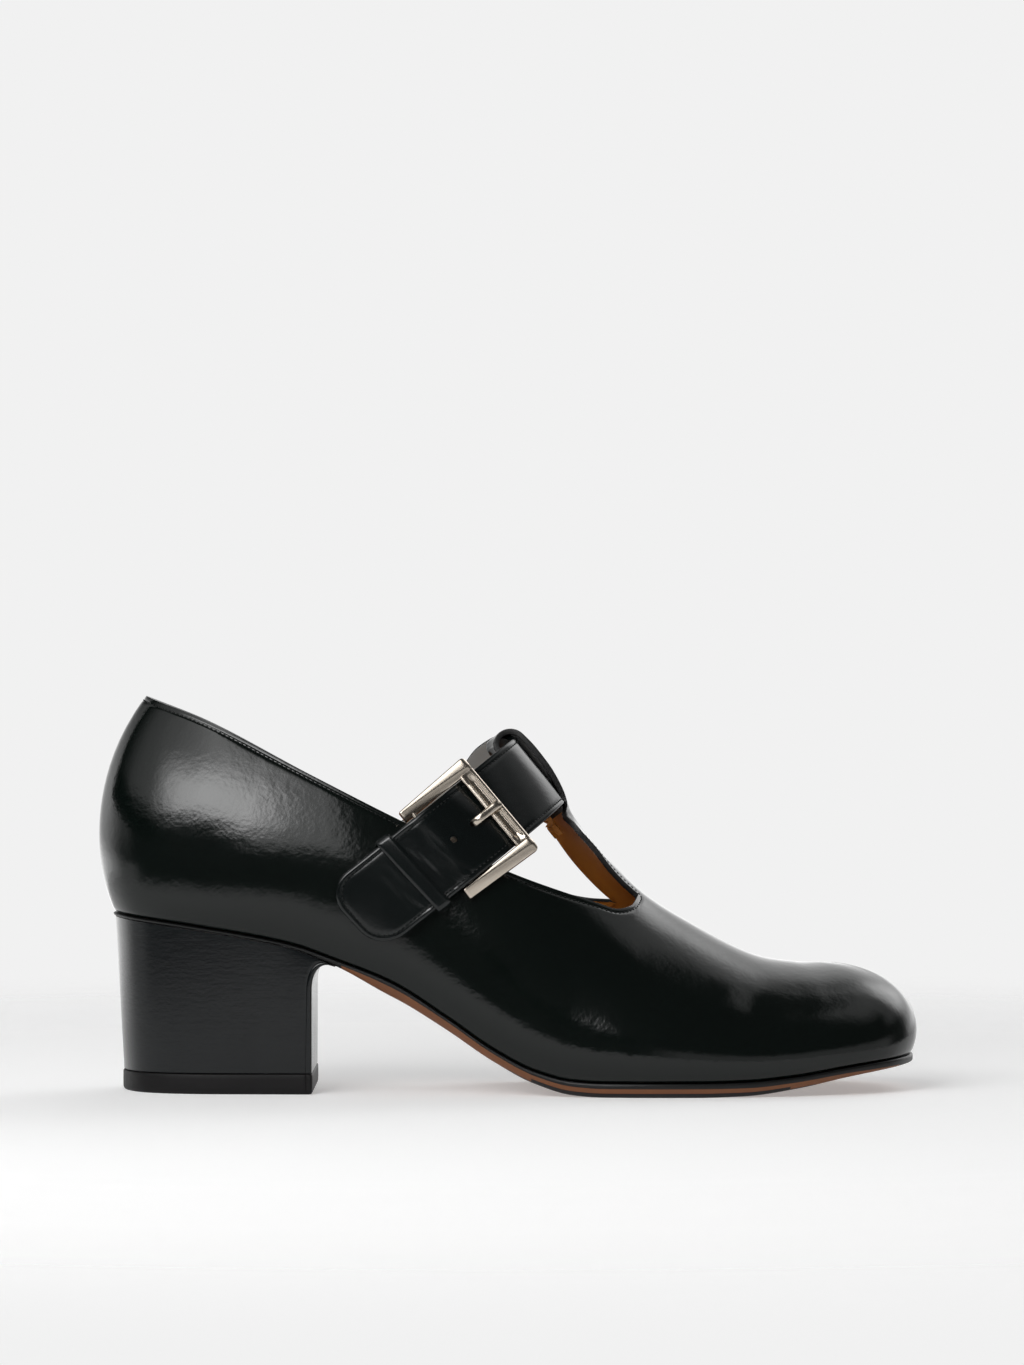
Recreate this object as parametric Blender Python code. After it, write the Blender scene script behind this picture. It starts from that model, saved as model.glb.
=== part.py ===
"""Right-foot T-strap shoe with a covered block heel, built piece by piece over one last."""
import math
from collections import namedtuple
from functools import lru_cache

import bmesh
import bpy
from mathutils import Vector

# Sizes are in millimetres: x from the back of the heel to the toe, y towards
# the inner side of the foot, z up from the floor.
MM = 0.001
LENGTH = 245.0
SIDE_SHIFT = -0.5
GAP = 0.3
WALL = 1.6
LASTING_MARGIN = 3.0

OUTER = -1
INNER = 1

# The last: one row for each section, from the back of the heel to the toe tip.
# outer and inner are half widths at the feather edge, face is the way the wall
# looks (0 sideways, 90 to the toe), swell and rise shape the lower wall, and
# top_x, ridge, half, top_z, reach and drop shape the crown that it runs into.
Section = namedtuple("Section", "x outer inner face swell rise top_x ridge half top_z reach drop")
LAST = [Section(*row) for row in (
    (4.6, 0.0, 0.0, -90, 8.8, 17.7, 27.0, 0.0, 0.0, 130.0, 30.0, 22.0),
    (9.0, 14.5, 14.5, -58, 8.8, 17.7, 29.0, 0.0, 4.0, 130.0, 24.0, 22.0),
    (19.0, 22.5, 22.5, -28, 9.0, 18.0, 38.0, 0.0, 8.0, 130.0, 18.0, 22.0),
    (36.0, 26.5, 26.0, -6, 9.0, 18.0, 54.0, 0.0, 11.0, 128.0, 13.0, 22.0),
    (62.0, 27.5, 25.0, 0, 9.5, 19.0, 84.0, 0.0, 8.0, 124.0, 17.0, 18.0),
    (90.0, 29.0, 24.5, -6, 9.5, 20.0, 111.0, 1.0, 0.0, 114.0, 24.0, 3.0),
    (115.0, 33.0, 26.5, -8, 10.0, 21.0, 131.0, 1.5, 0.0, 95.2, 23.0, 0.0),
    (138.0, 36.5, 31.5, -8, 10.0, 21.0, 147.0, 2.0, 0.0, 74.8, 20.0, 0.0),
    (160.0, 39.5, 37.5, -3, 9.0, 20.0, 162.0, 2.0, 0.0, 59.0, 18.0, 0.0),
    (182.0, 39.0, 40.5, 3, 8.5, 16.0, 179.0, 2.5, 0.0, 48.3, 20.0, 0.0),
    (203.0, 36.0, 39.5, 11, 8.0, 13.0, 195.0, 3.0, 0.0, 40.4, 22.0, 0.3),
    (221.0, 30.0, 35.5, 22, 7.0, 12.0, 207.0, 3.5, 0.0, 38.0, 22.0, 0.3),
    (234.5, 21.5, 28.5, 45, 6.0, 12.0, 215.0, 4.0, 0.0, 37.7, 22.0, 0.5),
    (241.3, 9.5, 16.5, 72, 6.0, 12.0, 218.5, 4.0, 0.0, 37.5, 19.0, 0.8),
    (243.0, -3.5, 3.5, 90, 6.0, 12.0, 219.5, 4.0, 0.0, 37.5, 18.5, 0.9),
)]
TIP = len(LAST) - 1

# The bottom of the upper and the sole under it: x, height of the feather edge,
# thickness of the sole.
SOLE_LINE = (
    (0.0, 53.8, 0.9), (30.0, 49.8, 0.9), (57.0, 44.9, 0.9), (72.0, 39.8, 2.4), (88.0, 33.4, 3.4),
    (104.0, 23.4, 3.6), (118.0, 13.9, 3.5), (130.0, 7.8, 3.7), (141.0, 5.0, 4.1), (150.0, 4.5, 4.2),
    (192.0, 4.5, 4.2), (207.0, 6.1, 3.5), (222.0, 8.5, 2.8), (245.0, 11.2, 2.2),
)
SOLE_BEVEL = 1.1
SOLE_EDGE = 0.4
INSOLE_THICK = 2.2

# The topline as the knife cuts it in side view: x, height, extra on the inner side.
TOPLINE = (
    (4.0, 122.5, 0.0), (14.0, 117.4, 0.0), (31.0, 111.0, -0.9), (60.0, 96.3, -1.8),
    (90.0, 81.1, -2.6), (122.0, 65.9, -2.9), (137.0, 60.2, -2.2), (149.0, 56.2, -0.3),
    (155.0, 54.4, 1.4), (158.8, 55.2, 1.5), (161.5, 58.8, 0.8), (163.0, 63.0, 0.0),
    (165.0, 75.0, 0.0),
)

# The T-bar runs up the ridge of the last. The strap's belt planes slope up to
# the front, and climb tells how far a plane lies along the ridge.
STRAP_SLOPE = math.radians(38.5)
STRAP_CLIMB = -7.5
STRAP_WIDTH = 25.0
STRAP_THICK = 2.0
T_BAR_HALF = {OUTER: 6.2, INNER: 17.5}
# Share of the inner half width that the T-bar keeps as it climbs: climb, share.
T_BAR_TAPER = ((-60.0, 1.0), (-28.0, 1.0), (-14.0, 0.86), (2.0, 0.62), (20.0, 0.6))
RETURN_END_SHARE = 0.75
TOE_BLEND_HALF = 8.0
T_BAR_FREE_CLIMB = -30.0
# Lift of the T-bar's outer face off the ridge, from the throat to the fold: climb, lift.
T_BAR_LIFT = ((-60.0, 0.0), (-28.0, 0.0), (-20.0, 1.5), (-13.0, 2.9), (-5.0, 4.2), (0.0, 4.6),
              (4.0, 4.2))
T_BAR_RETURN = ((4.0, -5.0), (-2.0, -5.0), (-14.0, -5.0), (-20.0, -5.0), (-24.5, -4.6))
T_BAR_ROWS = 11
FOLD_ROWS = 6
RETURN_ROWS = 7

# Places along the strap, by their x in side view on the outer side.
TIP_X = 76.5
KEEPER_X = 94.0
HEEL_BAR_X = 102.7
SLOT_X = 110.5
OUTER_BAR_X = 116.4
INNER_TOUCH_X = 114.5
INNER_END_X = 86.0
STRAP_TIP_RADIUS = 9.0
# Lift of the strap's under face off the last at those places.
LIFT_TIP = 0.5
LIFT_KEEPER = 1.75
LIFT_HEEL_BAR = 4.9
LIFT_SLOT = 3.0
LIFT_OUTER_BAR = 0.1
LIFT_CREST = -2.7
LIFT_INNER = 0.6
# Where the strap runs level: each side of the keeper, and from and to over the crest.
KEEPER_LEVEL = 3.0
CREST_FROM = -5.0
CREST_TO = 14.0
# The strap's inner half runs higher up the foot: distance from the ridge, rise.
STRAP_RISE = ((-90.0, 0.0), (8.0, 0.0), (26.0, 2.0), (90.0, 2.0))
STRAP_STEP = 2.6
STRAP_TIP_STEPS = (0.0, 0.7, 2.0, 4.2, 7.0)

KEEPER_WIDTH = 4.6
KEEPER_THICK = 1.0
KEEPER_PLAY = 0.35

BAR_RADIUS = 0.8
BAR_SIDES = 14
BAR_LIFT = 2.3
OUTER_BAR_LIFT = 5.2
ARM_INSIDE = 13.6
ARM_WIDE = 4.1
ARM_NARROW = 3.3
ARM_THICK = 2.6
ARM_TAIL = 3.2
OUTER_BAR_WIDE = 5.0
CORNER = 1.2
PRONG_WIDE = 2.0
PRONG_THICK = 1.0
# The prong from the heel bar through the strap, as distance ahead of the bar and height.
PRONG_PATH = ((3.5, -1.4), (7.0, -1.5), (10.0, -1.5), (11.6, -1.1), (12.8, -0.2), (13.8, 0.9),
              (14.8, 1.8), (16.0, 2.2))
PRONG_TIP = 1.8
# Slots for the prong in the strap and in the tab: from, to, play at each side.
STRAP_SLOT = (11.0, 15.4, 0.4)
TAB_SLOT = (-4.6, 6.0, 0.5)
SLOT_DEPTH = 8.0
TAB_WIDTH = 19.0
TAB_THICK = 0.8
TAB_LENGTH = 8.0
TAB_FREE = 2.0
TAB_SEAT = 0.05

HEEL_BACK_FOOT = 7.2
BREAST_X = 64.2
BREAST_LIP_X = 71.4
HEEL_FOOT_SCALE = 0.95
BREAST_FILLET_START = 0.8
HEEL_LEVELS = (0.0, 0.4, 0.8, 0.87, 0.93, 0.97, 1.0)
LIFT_HEIGHT = 6.0
LIFT_BEVEL = 0.5


def clear_scene():
    for obj in list(bpy.data.objects):
        bpy.data.objects.remove(obj, do_unlink=True)


def curve_through(points):
    """A smooth curve with no overshoot through (x, value) points, as a function of x."""
    xs = [p[0] for p in points]
    ys = [p[1] for p in points]
    count = len(xs)
    rise = [(ys[i + 1] - ys[i]) / (xs[i + 1] - xs[i]) for i in range(count - 1)]
    slope = [rise[0]]
    for i in range(1, count - 1):
        both = rise[i - 1] * rise[i]
        slope.append(2.0 * both / (rise[i - 1] + rise[i]) if both > 0.0 else 0.0)
    slope.append(rise[-1])

    def value(x):
        x = min(max(x, xs[0]), xs[-1])
        i = 0
        while i < count - 2 and x > xs[i + 1]:
            i += 1
        step = xs[i + 1] - xs[i]
        t = (x - xs[i]) / step
        return (ys[i] * (1 + 2 * t) * (1 - t) ** 2 + ys[i + 1] * t * t * (3 - 2 * t)
                + step * (slope[i] * t * (1 - t) ** 2 - slope[i + 1] * t * t * (1 - t)))
    return value


feather = curve_through([(row[0], row[1]) for row in SOLE_LINE])
sole_thickness = curve_through([(row[0], row[2]) for row in SOLE_LINE])
topline = {
    OUTER: curve_through([(row[0], row[1]) for row in TOPLINE]),
    INNER: curve_through([(row[0], row[1] + row[2]) for row in TOPLINE]),
}


def solve(low, high, test):
    """The place between low and high where test turns from false to true."""
    for _ in range(32):
        middle = 0.5 * (low + high)
        if test(middle):
            high = middle
        else:
            low = middle
    return 0.5 * (low + high)


@lru_cache(maxsize=None)
def section_points(side, row):
    """The four control points of a section's wall, from the feather edge to the crown."""
    if row < 0:
        return section_points(-side, -row)
    if row > TIP:
        return section_points(-side, 2 * TIP - row)
    shape = LAST[row]
    half = shape.outer if side == OUTER else shape.inner
    face = math.radians(shape.face)
    out = Vector((math.sin(face), side * math.cos(face), 0.0))
    foot = Vector((shape.x, side * half, feather(shape.x)))
    crown = Vector((shape.top_x, shape.ridge + side * shape.half, shape.top_z))
    lean = shape.rise * (crown.x - foot.x) / (crown.z - foot.z) * math.cos(face) ** 2
    low = foot + out * shape.swell + Vector((lean, 0.0, shape.rise))
    high = crown + out * shape.reach - Vector((0.0, 0.0, shape.drop))
    return foot, low, high, crown


@lru_cache(maxsize=None)
def section(side, s):
    """Control points of the section at any place s between the rows of the last."""
    row = min(int(math.floor(s)), TIP - 1)
    t = s - row
    weights = (0.5 * (-t + 2 * t ** 2 - t ** 3), 0.5 * (2 - 5 * t ** 2 + 3 * t ** 3),
               0.5 * (t + 4 * t ** 2 - 3 * t ** 3), 0.5 * (-t ** 2 + t ** 3))
    near = [section_points(side, row + k) for k in (-1, 0, 1, 2)]
    points = [sum((near[k][i] * weights[k] for k in range(4)), Vector()) for i in range(4)]
    settle = feather(points[0].x) - points[0].z
    points[0].z += settle
    points[1].z += settle
    return points


def last_point(side, s, v):
    """A point of the upper's outer face: v runs from the feather edge (0) to the crown (1)."""
    foot, low, high, crown = section(side, s)
    u = 1.0 - v
    return foot * u ** 3 + low * (3 * u * u * v) + high * (3 * u * v * v) + crown * v ** 3


def foot_outline(side, s, grow=0.0):
    """Plan point of the feather edge, moved outwards by grow."""
    step = 0.01
    ahead = section(side, min(s + step, TIP))[0]
    behind = section(side, max(s - step, 0.0))[0]
    if s >= TIP or s <= 0.0:
        out = Vector((1.0 if s > 0.0 else -1.0, 0.0, 0.0))
    else:
        along = ahead - behind
        out = Vector((-along.y, along.x, 0.0)).normalized() * side
    point = section(side, s)[0] + out * grow
    return Vector((point.x, point.y, 0.0))


UP_RIDGE = Vector((-math.sin(STRAP_SLOPE), 0.0, math.cos(STRAP_SLOPE)))
ALONG_STRAP = Vector((math.cos(STRAP_SLOPE), 0.0, math.sin(STRAP_SLOPE)))
RIDGE_FIRST = 4.4
RIDGE_LAST = 9.0
BELT_STEPS = 40


@lru_cache(maxsize=None)
def ridge_place(climb):
    """Where along the last the ridge crosses the belt plane of this climb."""
    return solve(RIDGE_FIRST, RIDGE_LAST, lambda s: section(INNER, s)[3].dot(UP_RIDGE) < climb)


@lru_cache(maxsize=None)
def belt(climb):
    """The last cut by a belt plane: (distance from the ridge, y, height in the plane)."""
    crest = ridge_place(climb)
    halves = {}
    for side in (OUTER, INNER):
        low = solve(0.0, crest, lambda s: section(side, s)[0].dot(UP_RIDGE) < climb)
        run = []
        for k in range(BELT_STEPS + 1):
            s = crest - (crest - low) * (k / BELT_STEPS) ** 2 * 0.98
            v = solve(0.0, 1.0, lambda v: last_point(side, s, v).dot(UP_RIDGE) > climb)
            point = last_point(side, s, v)
            run.append((point.y, point.dot(ALONG_STRAP)))
        halves[side] = run
    line = list(reversed(halves[OUTER])) + halves[INNER][1:]
    middle = len(halves[OUTER]) - 1
    away = [0.0] * len(line)
    for i in range(middle + 1, len(line)):
        away[i] = away[i - 1] + math.dist(line[i], line[i - 1])
    for i in range(middle - 1, -1, -1):
        away[i] = away[i + 1] - math.dist(line[i], line[i + 1])
    return away, line


def belt_flat(climb, along, lift):
    """The y and in-plane height of a point on a belt, lifted off the last."""
    away, line = belt(round(climb, 2))
    i = 1
    while i < len(away) - 1 and away[i] < along:
        i += 1
    t = (along - away[i - 1]) / (away[i] - away[i - 1])
    y = line[i - 1][0] + (line[i][0] - line[i - 1][0]) * t
    height = line[i - 1][1] + (line[i][1] - line[i - 1][1]) * t
    first, last = max(i - 2, 0), min(i + 1, len(line) - 1)
    dy, dh = line[last][0] - line[first][0], line[last][1] - line[first][1]
    size = math.hypot(dy, dh)
    return y - dh / size * lift, height + dy / size * lift


def belt_point(climb, along, lift):
    """A point on a belt round the instep: distance from the ridge, lift off the last."""
    y, height = belt_flat(climb, along, lift)
    return UP_RIDGE * climb + ALONG_STRAP * height + Vector((0.0, y, 0.0))


def belt_distance(climb, side, x):
    """Distance from the ridge along a belt to the place with this x in side view."""
    away, _ = belt(round(climb, 2))
    far = away[-1] if side == INNER else -away[0]
    return side * solve(1.0, far, lambda d: belt_point(climb, side * d, 0.0).x < x)


def edge_place(side, s, half):
    """How far up a section the T-bar's edge lies, half a bar's width from the ridge."""
    crown = last_point(side, s, 1.0)
    return solve(0.0, 1.0, lambda v: (last_point(side, s, v) - crown).length < half)


def topline_place(side, s):
    """How far up a section the topline is cut."""
    steps = 60
    for k in range(1, steps + 1):
        point = last_point(side, s, k / steps)
        if point.z > topline[side](point.x):
            break

    def above(v):
        point = last_point(side, s, v)
        return point.z > topline[side](point.x)
    return solve((k - 1) / steps, k / steps, above)


def bar_half(side, s, throat):
    """Half width of the centre strip: the T-bar's at the throat, one width at the toe."""
    t = min(max((s - throat) / (TIP - throat), 0.0), 1.0)
    return T_BAR_HALF[side] + (TOE_BLEND_HALF - T_BAR_HALF[side]) * t * t * (3 - 2 * t)


def throat_place(side):
    """The section where the topline runs into the T-bar's edge."""
    def covered(s):
        point = last_point(side, s, edge_place(side, s, T_BAR_HALF[side]))
        return point.z < topline[side](point.x)
    return solve(6.5, 9.0, covered)


def colour(hex_code):
    parts = [int(hex_code[i:i + 2], 16) / 255.0 for i in (1, 3, 5)]
    return [p / 12.92 if p <= 0.04045 else ((p + 0.055) / 1.055) ** 2.4 for p in parts] + [1.0]


def material(name, hex_code, roughness, metallic=0.0):
    finish = bpy.data.materials.new(name)
    finish.use_nodes = True
    shader = finish.node_tree.nodes["Principled BSDF"]
    shader.inputs["Base Color"].default_value = colour(hex_code)
    shader.inputs["Roughness"].default_value = roughness
    shader.inputs["Metallic"].default_value = metallic
    return finish


def add_object(name, points, faces, finish, root):
    """A named mesh object in metres, with doubles merged and faces turned outwards."""
    mesh = bpy.data.meshes.new(name)
    mesh.from_pydata([p * MM for p in points], [], faces)
    work = bmesh.new()
    work.from_mesh(mesh)
    bmesh.ops.remove_doubles(work, verts=work.verts, dist=0.00002)
    bmesh.ops.recalc_face_normals(work, faces=work.faces)
    work.to_mesh(mesh)
    work.free()
    mesh.materials.append(finish)
    mesh.shade_smooth()
    obj = bpy.data.objects.new(name, mesh)
    obj.parent = root
    bpy.context.scene.collection.objects.link(obj)
    return obj


def cut(obj, cutter):
    """Cuts one object out of another, and hides the cutter."""
    cutter.hide_render = True
    cutter.display_type = "WIRE"
    knife = obj.modifiers.new("cut", "BOOLEAN")
    knife.operation = "DIFFERENCE"
    knife.object = cutter


def quads_between(first, second):
    return [(first[i], first[i + 1], second[i + 1], second[i]) for i in range(len(first) - 1)]


def stack(rings):
    """A solid from rings of paired outer and inner points, closed across top and bottom."""
    points = []
    loops = []
    for outer, inner in rings:
        start = len(points)
        points += outer + list(reversed(inner))
        loops.append(list(range(start, len(points))))
    faces = []
    for lower, upper in zip(loops, loops[1:]):
        faces += quads_between(lower + lower[:1], upper + upper[:1])
    for loop in (loops[0], loops[-1]):
        half = len(loop) // 2
        faces += quads_between(loop[:half], list(reversed(loop[half:])))
    return points, faces


def lay_on(outline, height):
    return [Vector((p.x, p.y, height(p.x))) for p in outline]


def outline_pair(places, grow):
    return [[foot_outline(side, s, grow) for s in places] for side in (OUTER, INNER)]


def spread(first, last, count):
    return [first + (last - first) * k / count for k in range(count + 1)]


# Upper

SIDE_COLUMNS = 8
STRIP_COLUMNS = 2
ROWS_PER_SECTION = 3
THROAT_STEPS = (0.3, 0.2, 0.13, 0.08, 0.04)
LEAST_STEP = 0.03
EVEN_TOP = 0.6


def column_place(top, k):
    """How far up a section a wall column lies: low columns run level, the top ones fan out."""
    f = k / SIDE_COLUMNS
    return EVEN_TOP * f + (top - EVEN_TOP) * f ** 4


def upper_places(throats):
    """Where the upper's rows lie: even along the last, closer behind each throat."""
    places = [0.0, float(TIP)] + list(throats)
    wanted = [throat - step for throat in throats for step in THROAT_STEPS]
    for s in wanted + spread(0.0, TIP, TIP * ROWS_PER_SECTION):
        if min(abs(s - kept) for kept in places) > LEAST_STEP:
            places.append(s)
    return sorted(places)


def build_upper(finish, root):
    """The hollow upper: side walls, vamp, T-bar and loop as one wall of even thickness."""
    throats = {side: throat_place(side) for side in (OUTER, INNER)}
    base = min(throats.values())
    places = upper_places(throats.values())
    points = []
    faces = []

    def put(point):
        points.append(point)
        return len(points) - 1

    def strip(centre, edges, inside):
        """One row across the T-bar, from its outer to its inner edge."""
        return ([edges[OUTER]] + [put(inside(OUTER, k)) for k in range(1, STRIP_COLUMNS)] + [centre]
                + [put(inside(INNER, k)) for k in range(STRIP_COLUMNS - 1, 0, -1)] + [edges[INNER]])

    walls = {OUTER: [], INNER: []}
    crowns = []
    for s in places:
        edges = {}
        tops = {}
        for side in (OUTER, INNER):
            edge = edge_place(side, s, bar_half(side, s, throats[side])) if s >= base else 1.0
            joined = s >= throats[side]
            top = edge if joined else topline_place(side, s)
            hem = foot_outline(side, s, -LASTING_MARGIN)
            wall = [put(Vector((hem.x, hem.y, feather(hem.x))))]
            wall += [put(last_point(side, s, column_place(top, k))) for k in range(SIDE_COLUMNS + 1)]
            walls[side].append(wall)
            tops[side] = edge
            if s >= base:
                edges[side] = wall[-1] if joined else put(last_point(side, s, edge))
        if s >= base:
            def across(side, k):
                edge = tops[side]
                return last_point(side, s, edge + (1.0 - edge) * k / STRIP_COLUMNS)
            crowns.append(strip(put(last_point(INNER, s, 1.0)), edges, across))

    bar = []
    start = last_point(INNER, base, 1.0).dot(UP_RIDGE)
    lift = curve_through(T_BAR_LIFT)
    back = curve_through(list(reversed(T_BAR_RETURN)))
    fold = T_BAR_LIFT[-1][0]
    middle = 0.5 * (lift(fold) + back(fold))
    radius = 0.5 * (lift(fold) - back(fold))
    taper = curve_through(T_BAR_TAPER)
    path = [(climb, lift(climb), taper(climb)) for climb in spread(start, fold, T_BAR_ROWS)[1:]]
    path += [(fold + radius * math.sin(turn), middle + radius * math.cos(turn), taper(fold))
             for turn in spread(0.0, math.pi, FOLD_ROWS)[1:]]
    path += [(climb, back(climb), taper(fold))
             for climb in spread(fold, T_BAR_RETURN[-1][0], RETURN_ROWS)[1:]]
    path[-1] = (*path[-1][:2], path[-1][2] * RETURN_END_SHARE)
    free = T_BAR_FREE_CLIMB
    for climb, height, kept in path:
        t = min(max((climb - start) / (free - start), 0.0), 1.0)
        share = t * t * (3 - 2 * t)
        s = ridge_place(climb)

        def at(side, k):
            out = T_BAR_HALF[side] * (1.0 - k / STRIP_COLUMNS) * (kept if side == INNER else 1.0)
            belted = belt_point(climb, side * out, height)
            if share >= 1.0:
                return belted
            place = edge_place(side, s, out) if out > 0.0 else 1.0
            return last_point(side, s, place).lerp(belted, share)
        bar.append(strip(put(at(INNER, STRIP_COLUMNS)), {side: put(at(side, 0)) for side in walls}, at))

    for side in walls:
        for first, second in zip(walls[side], walls[side][1:]):
            faces += quads_between(first, second)
    for first, second in zip(crowns, crowns[1:]):
        faces += quads_between(first, second)
    for first, second in zip([crowns[0]] + bar, bar):
        faces += quads_between(first, second)
    upper = add_object("upper", points, faces, finish, root)
    skin = upper.modifiers.new("wall", "SOLIDIFY")
    skin.thickness = WALL * MM
    skin.offset = -1.0
    skin.use_even_offset = True
    return upper


# Bottom

SOLE_PLACES = spread(0.0, TIP, TIP * 3)


def sole_under(x):
    return feather(x) - GAP - sole_thickness(x)


def build_outsole(finish, root):
    """Sole from heel seat to toe, thin under the heel, with a bevelled lower edge."""
    full = outline_pair(SOLE_PLACES, SOLE_EDGE)
    inset = outline_pair(SOLE_PLACES, SOLE_EDGE - SOLE_BEVEL)
    waist = min(SOLE_BEVEL, 0.4 * SOLE_LINE[0][2])

    def bevel_line(x):
        return sole_under(x) + min(SOLE_BEVEL, waist + 0.35 * (sole_thickness(x) - SOLE_LINE[0][2]))
    rings = [[lay_on(side, sole_under) for side in inset],
             [lay_on(side, bevel_line) for side in full],
             [lay_on(side, lambda x: feather(x) - GAP) for side in full]]
    return add_object("outsole", *stack(rings), finish, root)


def build_insole(finish, root):
    """Lining board inside the lasted edge of the upper, on the outsole."""
    edge = outline_pair(SOLE_PLACES, -LASTING_MARGIN - 0.4)
    rings = [[lay_on(side, feather) for side in edge],
             [lay_on(side, lambda x: feather(x) + INSOLE_THICK) for side in edge]]
    return add_object("insole", *stack(rings), finish, root)


def heel_ring(level):
    """One ring of the heel, from its foot (0) to the seat (1), with the breast's fillet."""
    last = solve(3.0, 6.0, lambda s: section(OUTER, s)[0].x > BREAST_LIP_X)
    first_x = foot_outline(OUTER, 0.0).x
    past = max(0.0, (level - BREAST_FILLET_START) / (1.0 - BREAST_FILLET_START))
    flare = 1.0 - math.sqrt(1.0 - past * past)
    foot_z = LIFT_HEIGHT + GAP
    ring = []
    for seat in outline_pair(spread(0.0, last, 12), -0.2):
        side = []
        for p in seat:
            q = min(max((p.x - first_x) / (BREAST_LIP_X - first_x), 0.0), 1.0)
            foot_x = HEEL_BACK_FOOT + q * (BREAST_X - HEEL_BACK_FOOT)
            share = level * (1.0 - q ** 3) + flare * q ** 3
            x = foot_x + (p.x - foot_x) * share
            y = p.y * (HEEL_FOOT_SCALE + (1.0 - HEEL_FOOT_SCALE) * level)
            side.append(Vector((x, y, foot_z + level * (sole_under(x) - GAP - foot_z))))
        ring.append(side)
    return ring


def build_heel(finish, root):
    """Block heel under the sole, with a straight breast that flares into its lip."""
    return add_object("heel", *stack([heel_ring(level) for level in HEEL_LEVELS]), finish, root)


def build_top_lift(finish, root):
    """Rubber tip of the heel, with a small bevel at the floor."""
    foot = heel_ring(0.0)
    middle_x = 0.5 * (HEEL_BACK_FOOT + BREAST_X)

    def ring(grow, z):
        scale = 1.0 + grow / (middle_x - HEEL_BACK_FOOT)
        return [[Vector((middle_x + (p.x - middle_x) * scale, p.y * scale, z)) for p in side]
                for side in foot]
    rings = [ring(-LIFT_BEVEL, 0.0), ring(0.2, LIFT_BEVEL), ring(0.2, LIFT_HEIGHT)]
    return add_object("top_lift", *stack(rings), finish, root)


# Strap, keeper and buckle

STRAP_COLUMNS = (-1.0, -0.5, 0.0, 0.5, 1.0)


def strap_places():
    names = ("tip", "keeper", "heel_bar", "slot", "outer_bar")
    spots = (TIP_X, KEEPER_X, HEEL_BAR_X, SLOT_X, OUTER_BAR_X)
    places = {name: belt_distance(STRAP_CLIMB, OUTER, x) for name, x in zip(names, spots)}
    places["inner"] = belt_distance(STRAP_CLIMB, INNER, INNER_TOUCH_X)
    places["end"] = belt_distance(STRAP_CLIMB, INNER, INNER_END_X)
    return places


PLACES = strap_places()
strap_rise = curve_through(STRAP_RISE)
strap_lift = curve_through([
    (PLACES["tip"], LIFT_TIP),
    (PLACES["keeper"] - KEEPER_LEVEL, LIFT_KEEPER), (PLACES["keeper"] + KEEPER_LEVEL, LIFT_KEEPER),
    (PLACES["heel_bar"], LIFT_HEEL_BAR), (PLACES["slot"], LIFT_SLOT),
    (PLACES["outer_bar"], LIFT_OUTER_BAR), (CREST_FROM, LIFT_CREST), (CREST_TO, LIFT_CREST),
    (PLACES["inner"], LIFT_INNER), (PLACES["end"], LIFT_INNER)])


def build_strap(finish, root):
    """Strap round the instep, from its rounded tip to its end on the inner quarter."""
    first, last = PLACES["tip"], PLACES["end"]
    count = int((last - first) / STRAP_STEP)
    stations = [first + step for step in STRAP_TIP_STEPS]
    stations += [u for u in spread(first, last, count) if u > first + STRAP_TIP_RADIUS - 1.0]
    rings = []
    points = []
    for u in stations:
        end = max(min(u - first, last - u), 0.0)
        short = max(STRAP_TIP_RADIUS - end, 0.0)
        half = STRAP_WIDTH / 2 - STRAP_TIP_RADIUS + math.sqrt(STRAP_TIP_RADIUS ** 2 - short ** 2)
        lift = strap_lift(u)
        climbs = [STRAP_CLIMB + strap_rise(u) + half * c for c in STRAP_COLUMNS]
        under = [belt_point(climb, u, lift) for climb in climbs]
        over = [belt_point(climb, u, lift + STRAP_THICK) for climb in climbs]
        start = len(points)
        points += under + list(reversed(over))
        rings.append(list(range(start, len(points))))
    faces = []
    for first_ring, second_ring in zip(rings, rings[1:]):
        faces += quads_between(first_ring + first_ring[:1], second_ring + second_ring[:1])
    for ring in (rings[0], rings[-1]):
        half_way = len(ring) // 2
        faces += quads_between(ring[:half_way], list(reversed(ring[half_way:])))
    strap = add_object("ankle_strap", points, faces, finish, root)
    cut(strap, add_object("strap_slot_cutter", *slot_box(STRAP_SLOT), finish, root))
    return strap


def build_keeper(finish, root):
    """Closed leather band round the strap, over the quarter."""
    points = []
    loops = []
    middle = PLACES["keeper"]
    inner_half = STRAP_WIDTH / 2 + KEEPER_PLAY
    low, high = -KEEPER_PLAY, STRAP_THICK + KEEPER_PLAY
    for u in (middle - KEEPER_WIDTH / 2, middle + KEEPER_WIDTH / 2):
        base = strap_lift(u)
        for grow in (0.0, KEEPER_THICK):
            start = len(points)
            half = inner_half + grow
            steps = spread(-half, half, 6)
            points += [belt_point(STRAP_CLIMB + b, u, base + low - grow) for b in steps]
            points += [belt_point(STRAP_CLIMB + b, u, base + high + grow) for b in reversed(steps)]
            loops.append(list(range(start, len(points))))
    near_in, near_out, far_in, far_out = loops
    faces = []
    for first, second in ((near_in, near_out), (near_out, far_out), (far_out, far_in), (far_in, near_in)):
        faces += quads_between(first + first[:1], second + second[:1])
    return add_object("keeper", points, faces, finish, root)


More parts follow.
